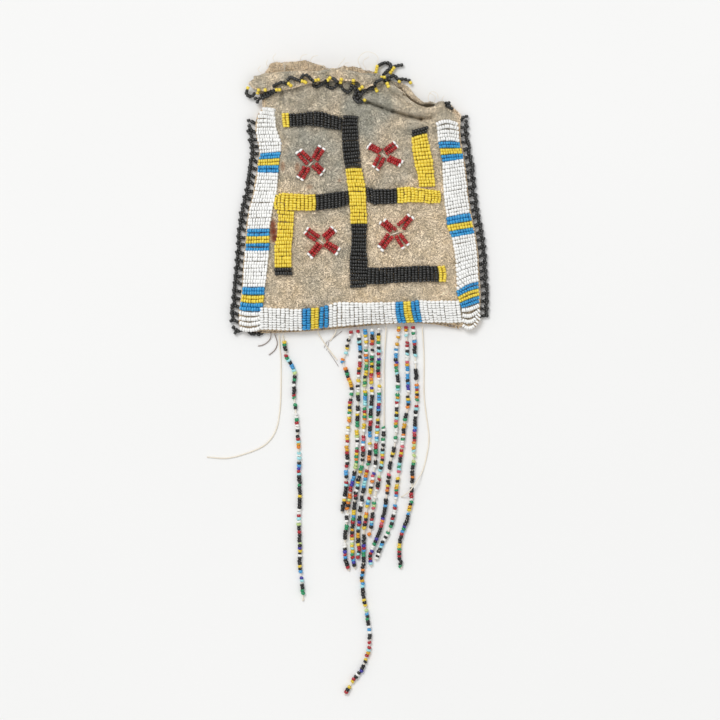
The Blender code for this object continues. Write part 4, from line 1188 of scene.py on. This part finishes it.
# Fringe. Ten threads come out of the bottom seam, each strung with odd seed beads left over from other
# work, with bare thread where beads have slipped or broken away, and a knot at the end.
STRAND_DIAMETER = 0.0020
NECK_LENGTH = 0.0015
FIRST_BEAD_SHARE = 0.2
FLOOR_GAP = 0.00005
STRANDS = {
    "fringe_left": (0.134, [
        (283, 334), (285, 342), (286, 357), (290, 362), (295, 372), (294, 380), (294, 394), (295, 405),
        (297, 423), (298, 438), (299, 453), (299, 476), (300, 494), (299, 510), (299, 528), (300, 550),
        (300, 568), (302, 581), (303, 600),
    ]),
    "fringe_1": (0.093, [
        (351, 333), (349, 337), (348, 343), (347, 350), (345, 356), (342, 362), (346, 370), (349, 380),
        (352, 389), (351, 396), (350, 405), (349, 419), (348, 427), (347, 437), (347, 461), (346, 475),
        (346, 486), (344, 500), (343, 507), (342, 512),
    ]),
    "fringe_2": (0.121, [
        (358, 333), (359, 338), (360, 350), (360, 363), (358, 378), (358, 391), (358, 408), (357, 425),
        (357, 444), (356, 461), (354, 476), (351, 486), (350, 494), (348, 503), (347, 518), (346, 529),
        (345, 537), (345, 552), (346, 562), (349, 570),
    ]),
    "fringe_3": (0.120, [
        (365, 333), (366, 338), (366, 351), (366, 371), (364.5, 384), (365, 398), (364, 425), (363, 445),
        (363, 460), (360.5, 471), (358, 483), (356, 493), (354, 510), (353, 520), (352, 532), (352, 546),
        (353, 558), (355, 568),
    ]),
    "fringe_4": (0.116, [
        (372, 333), (372, 341), (372, 354), (372, 365), (371, 380), (372, 391), (370.5, 419), (370, 438),
        (370, 444), (369, 461), (366.5, 472), (364.5, 484), (362, 497), (360, 510), (359, 524), (358, 532),
        (358, 543), (359, 551), (358, 558),
    ]),
    "fringe_5": (0.188, [
        (379, 333), (378, 338), (379, 357), (378, 370), (379, 382), (379, 399), (378, 420), (377, 435),
        (376, 447), (375, 466), (373, 476), (371, 488), (368, 501), (366, 516), (364, 530), (364, 543),
        (364, 555), (363, 568), (362, 577), (363, 591), (364, 600), (367, 614), (369, 628), (370, 637),
        (369, 648), (365, 662), (361, 671), (356, 676), (351, 684), (347, 690), (345, 694),
    ]),
    "fringe_5_short": (0.105, [
        (386, 333), (385, 345), (384, 365), (384, 385), (384, 405), (384, 425), (383, 444), (382, 459),
        (380, 471), (378, 484), (375, 497), (373, 512), (371, 527), (369.5, 536),
    ]),
    "fringe_6": (0.122, [
        (399, 331), (398, 337), (396, 349), (396, 364), (398, 382), (397, 403), (396, 421), (396, 435),
        (394, 449), (391, 459), (389, 470), (388, 483), (386, 500), (385, 509), (383, 517), (380, 531),
        (377, 538), (373.5, 545), (370, 553), (371, 566),
    ]),
    "fringe_7": (0.120, [
        (406, 331), (407, 338), (407, 364), (408, 382), (408, 398), (409, 404), (405, 420), (403, 438),
        (402, 448), (400, 461), (398, 477), (396, 495), (394, 512), (392, 523), (387, 534), (382, 544),
        (378, 554), (376, 560),
    ]),
    "fringe_8": (0.122, [
        (413, 331), (414, 337), (415, 354), (416, 375), (417, 398), (415, 422), (414, 445), (413, 465),
        (412, 482), (411, 502), (407, 519), (403, 530), (400, 540), (399, 554), (401, 568),
    ]),
}
# each colour's share of the beads, and how many times more of it was left for the dark stretch
FRINGE_COLOURS = {
    "#1C1B1C": (0.24, 2.8), "#F6F5F1": (0.16, 0.6), "#AE2731": (0.14, 1.2), "#E9C93F": (0.11, 0.7),
    "#A6E3E8": (0.08, 0.7), "#4C9FD6": (0.07, 1.0), "#2E9564": (0.08, 1.3), "#E8872F": (0.05, 0.7),
    "#43399E": (0.03, 2.5), "#C3D88E": (0.03, 0.5), "#DB6675": (0.02, 0.8), "#DDA424": (0.04, 0.8),
}
DARK_FROM = 0.093
TANGLE_END = 0.120          # from DARK_FROM to here the strands are tangled, which kept their beads close
BARE_START = 0.0003
BARE_STARTS = {"fringe_left": 0.0030, "fringe_5_short": 0.0500}
BARE_END = 0.0012
SLIP = (0.0004, 0.0026)     # how far a bead has slipped from the next
SLIPPED_SHARES = (0.03, 0.17)           # of the beads have slipped, in the tangle and elsewhere
BLACK_RUN_SHARE = 0.5       # of the black beads start a run of two to four
PAIR_SHARE = 0.15           # of the other colours come two at a time
# a strung bead's length and its diameter over the usual one, each with how much it varies
STRUNG_LENGTH = (0.00130, 0.00014)
STRUNG_WIDTH = (1.07, 0.06)
STRUNG_PITCH = 1.02         # lengths of a bead from one to the next
ROUTE_STEP = 0.0048
FRINGE_GLASS = bead_glass("mixed seed-bead glass", None, None, 0.22)


def strung(line, bare):
    """Beads along a strand past its bare start, in runs of one colour now and then, some apart. The last
    stretch was strung from the dark beads that were left."""
    along = distance_along(line)
    codes = list(FRINGE_COLOURS)
    weights, darker = np.array(list(FRINGE_COLOURS.values())).T
    darker = weights * darker
    weights = weights / weights.sum()
    darker /= darker.sum()
    black = codes[0]
    beads, colours = [], []
    place = bare
    run, code = 0, black
    while place < along[-1] - BARE_END:
        in_neck = place < NECK_LENGTH
        length = chance.normal(*STRUNG_LENGTH)
        if run == 0:
            last = code
            while code == last:
                code = codes[chance.choice(len(codes), p=darker if place > DARK_FROM else weights)]
            run = chance.integers(2, 5) if code == black and chance.random() < BLACK_RUN_SHARE else 1
            if code != black and chance.random() < PAIR_SHARE:
                run = 2
        run -= 1
        centre, ahead = point_at([place + length / 2, place + length / 2 + 0.0005], along, line)
        width = np.clip(chance.normal(*STRUNG_WIDTH), 0.9, 1.05 if in_neck else 1.2)
        diameter = STRAND_DIAMETER * width
        centre[2] += (diameter - STRAND_DIAMETER) / 2
        if not in_neck:
            centre[0] += chance.normal(0, 0.00012)
        axis = ahead - centre + chance.normal(0, 0.00007, 3)
        if in_neck:
            # the first bead sits square, close to the seam that its strand swings from
            axis = np.array([0, -1, 0])
        beads.append((centre, axis, length, diameter, 0))
        colours.append(linear(code))
        place += length * STRUNG_PITCH
        if chance.random() < SLIPPED_SHARES[not DARK_FROM < place < TANGLE_END]:
            place += chance.uniform(*SLIP)
    # two turns of the knot
    for size, back in ((0.00085, 0.0), (0.0007, 0.0006)):
        knot = line[-1] + [back / 2, back, -0.0004]
        beads.append((knot, np.array([0.3, 1, 0.2]), size, size, 1))
        colours.append(linear("#DDD3BF"))
    return beads, colours


for node, (length, route) in STRANDS.items():
    root = seam_root(spot(*route[0])[0])
    neck_end = root - [0, NECK_LENGTH, 0]
    lying = STRAND_DIAMETER / 2 + FLOOR_GAP
    points = [np.array([*spot(*pixel), lying]) for pixel in route[1:]]
    first_bead = mix(neck_end, points[0], FIRST_BEAD_SHARE)
    line = np.vstack([[root], [neck_end], smooth_route([first_bead, *points], ROUTE_STEP)])
    strand = thread(node + "_thread", line, THREAD_DIAMETER, PALE_THREAD)
    beads, colours = strung(line, BARE_STARTS.get(node, BARE_START))
    beaded = string_beads(node + "_beads", beads, [FRINGE_GLASS, PALE_THREAD], colours)
    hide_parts(node)
    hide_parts(node)
    for piece, slot in ((strand, "thread"), (beaded, "fringe_beads")):
        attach(piece, node.replace("fringe", "strand"))

# Loose threads. Two long ends lie beside the fringe, two brown and two pale ends stick out of the seam,
# and fine wisps curl out of the mouth and the seam. The long ends have lost all their beads.
CROSSING_RISE = 0.0023
CROSSING_POINTS = slice(7, 10)          # of the right tail's route, where it lies over a strand
FINE_THREAD = 0.0004
TAIL_STEP = 0.0024
END_STEP = 0.0018
RUN_IN = 0.0018
TAILS = {
    "left_thread_tail": ("strand_left", 0.0875, PALE_THREAD, [
        (279, 335), (280, 348), (281, 362), (281, 386), (280, 409), (276, 430), (266, 444), (250, 452),
        (228, 458), (207, 457),
    ]),
    "right_thread_tail": ("strand_8", 0.0915, PALE_THREAD, [
        (422, 331), (424, 357), (424, 392), (426, 413), (429, 437), (427, 454), (423, 470), (417, 480),
        (412, 488), (406, 494), (401, 497),
    ]),
    "brown_thread_end_1": ("pouch", 0, BROWN_THREAD, [
        (271, 336), (270, 339.5), (266.5, 343), (262, 345.4), (258, 346),
    ]),
    "brown_thread_end_2": ("pouch", 0, BROWN_THREAD, [
        (275, 336), (276.8, 340), (277.2, 345), (274.5, 350.5), (269, 355),
    ]),
    "pale_thread_end_1": ("pouch", 0, PALE_THREAD, [(318, 335), (323, 341), (330, 351), (337, 360)]),
    "pale_thread_end_2": ("pouch", 0, PALE_THREAD, [(336, 334), (333, 337), (330, 341)]),
}
for name, (body, length, finish, route) in TAILS.items():
    height = THREAD_DIAMETER / 2 + FLOOR_GAP
    points = [np.array([*spot(*pixel), height]) for pixel in route]
    points[0] = seam_root(points[0][0])
    if name == "right_thread_tail":
        for point in points[CROSSING_POINTS]:
            point[2] += CROSSING_RISE
    if not length:
        # a short end stays where it is, so it can run on into the seam
        points.insert(0, points[0] + [0, RUN_IN, 0])
    thickness = FINE_THREAD if finish is BROWN_THREAD else THREAD_DIAMETER
    line = smooth_route(points, TAIL_STEP if length else END_STEP)
    tail = thread(name + "_piece", line, thickness, finish)
    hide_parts(name)
    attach(tail, body)

# short fibres and frayed ends, thinner than a sewing thread
WISP_DIAMETER = 0.00022
WISP_STEP = 0.0008
WISPS = [
    [(337, 72), (339, 66), (343, 61), (345, 58)], [(341, 70), (345, 64), (349, 63)],
    [(361, 68), (358, 60), (364, 53), (372, 53), (378, 58), (376, 65)],
    [(366, 70), (363, 62), (369, 57)], [(300, 61), (302, 56), (307, 55)],
    [(283, 62), (285, 70), (282, 76)], [(322, 66), (328, 70), (333, 76)],
    [(430, 104), (428, 97), (432, 92), (437, 94), (438, 99)], [(434, 103), (435, 97), (429, 93)],
    [(446, 104), (442, 100), (444, 96)], [(452, 110), (458, 112), (461, 118)],
    [(262, 74), (258, 70), (261, 66)],
    [(269, 68), (266.5, 64), (268, 60)], [(275, 63), (273, 58), (276, 54)],
    [(310, 62), (313, 57), (318, 56)],
    [(286, 62), (283.5, 66), (281, 71)], [(288, 62), (285, 67), (283.5, 71)],
]
SEAM_WISPS = [
    [(327.2, 341), (325.6, 344.6), (324, 348)], [(328.8, 341.4), (328, 346), (326.4, 350.4)],
    [(328, 351), (333, 358), (338.4, 366.4)], [(342, 331), (336, 336), (328.6, 341)],
]
for name, finish, routes, low, step_up in (
    ("mouth_wisps", PALE_THREAD, WISPS, 0.0030, 0.0006),
    ("seam_wisps", BROWN_THREAD, SEAM_WISPS, 0.0004, 0),
):
    wisps = []
    for route in routes:
        flat = spots(route)
        line = np.column_stack([flat, low + step_up * np.arange(len(flat))])
        wisps.append(thread("wisp", smooth_route(line, WISP_STEP), WISP_DIAMETER, finish))
    wisps = joined(name, wisps)
    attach(wisps, "pouch")

# Table, light and camera. The photo looks straight down on a white table under a wide soft light from
# the upper left, so shadows fall softly to the lower right.
bpy.ops.object.select_all(action="DESELECT")
bpy.ops.mesh.primitive_plane_add(size=40, location=(0, 0, -0.0001))
table = bpy.context.object
table.name = "table_top"
paper, tree, shader = new_material("matt white card", 0.9, 1.45)
place = add_node(tree, "TexCoord", {}).outputs["Object"]
tooth = add_node(tree, "TexNoise", {"Vector": place, "Scale": 4, "Detail": 2})
card = add_node(
    tree, "Mix", {"Factor": tooth.outputs["Fac"], FIRST: "#F4F4F3", SECOND: "#EFEFEE"},
    data_type="RGBA",
)
tree.links.new(card.outputs[MIXED], shader.inputs["Base Color"])
table.data.materials.append(paper)

world = bpy.data.worlds.new("white studio")
bpy.context.scene.world = world
world.use_nodes = True
world.node_tree.nodes["Background"].inputs["Color"].default_value = linear("#FFFFFF")
world.node_tree.nodes["Background"].inputs["Strength"].default_value = 0.64
bpy.context.scene.view_settings.view_transform = "Standard"

AIM = Vector((*spot(360, 360), 0))


def add_light(name, direction, distance, size, power):
    lamp = bpy.data.lights.new(name, "AREA")
    lamp.shape = "DISK"
    lamp.size = size
    lamp.energy = power
    holder = put(name, lamp)
    holder.location = AIM + Vector(direction).normalized() * distance
    holder.rotation_euler = (AIM - holder.location).to_track_quat("-Z", "Y").to_euler()


add_light("key", (-0.4, 0.6, 1.0), 6.0, 2.6, 170)
add_light("fill", (0.7, -0.3, 1.0), 3.0, 2.4, 5)

CAMERA_HEIGHT = 3.0
FRAME_WIDTH = 720 * PIXEL
SENSOR_MM = 36
lens = bpy.data.cameras.new("camera")
lens.sensor_width = SENSOR_MM
lens.lens = SENSOR_MM * CAMERA_HEIGHT / FRAME_WIDTH
lens.clip_end = 10
camera = put("camera", lens)
camera.location = AIM + Vector((0, 0, CAMERA_HEIGHT))
bpy.context.scene.camera = camera
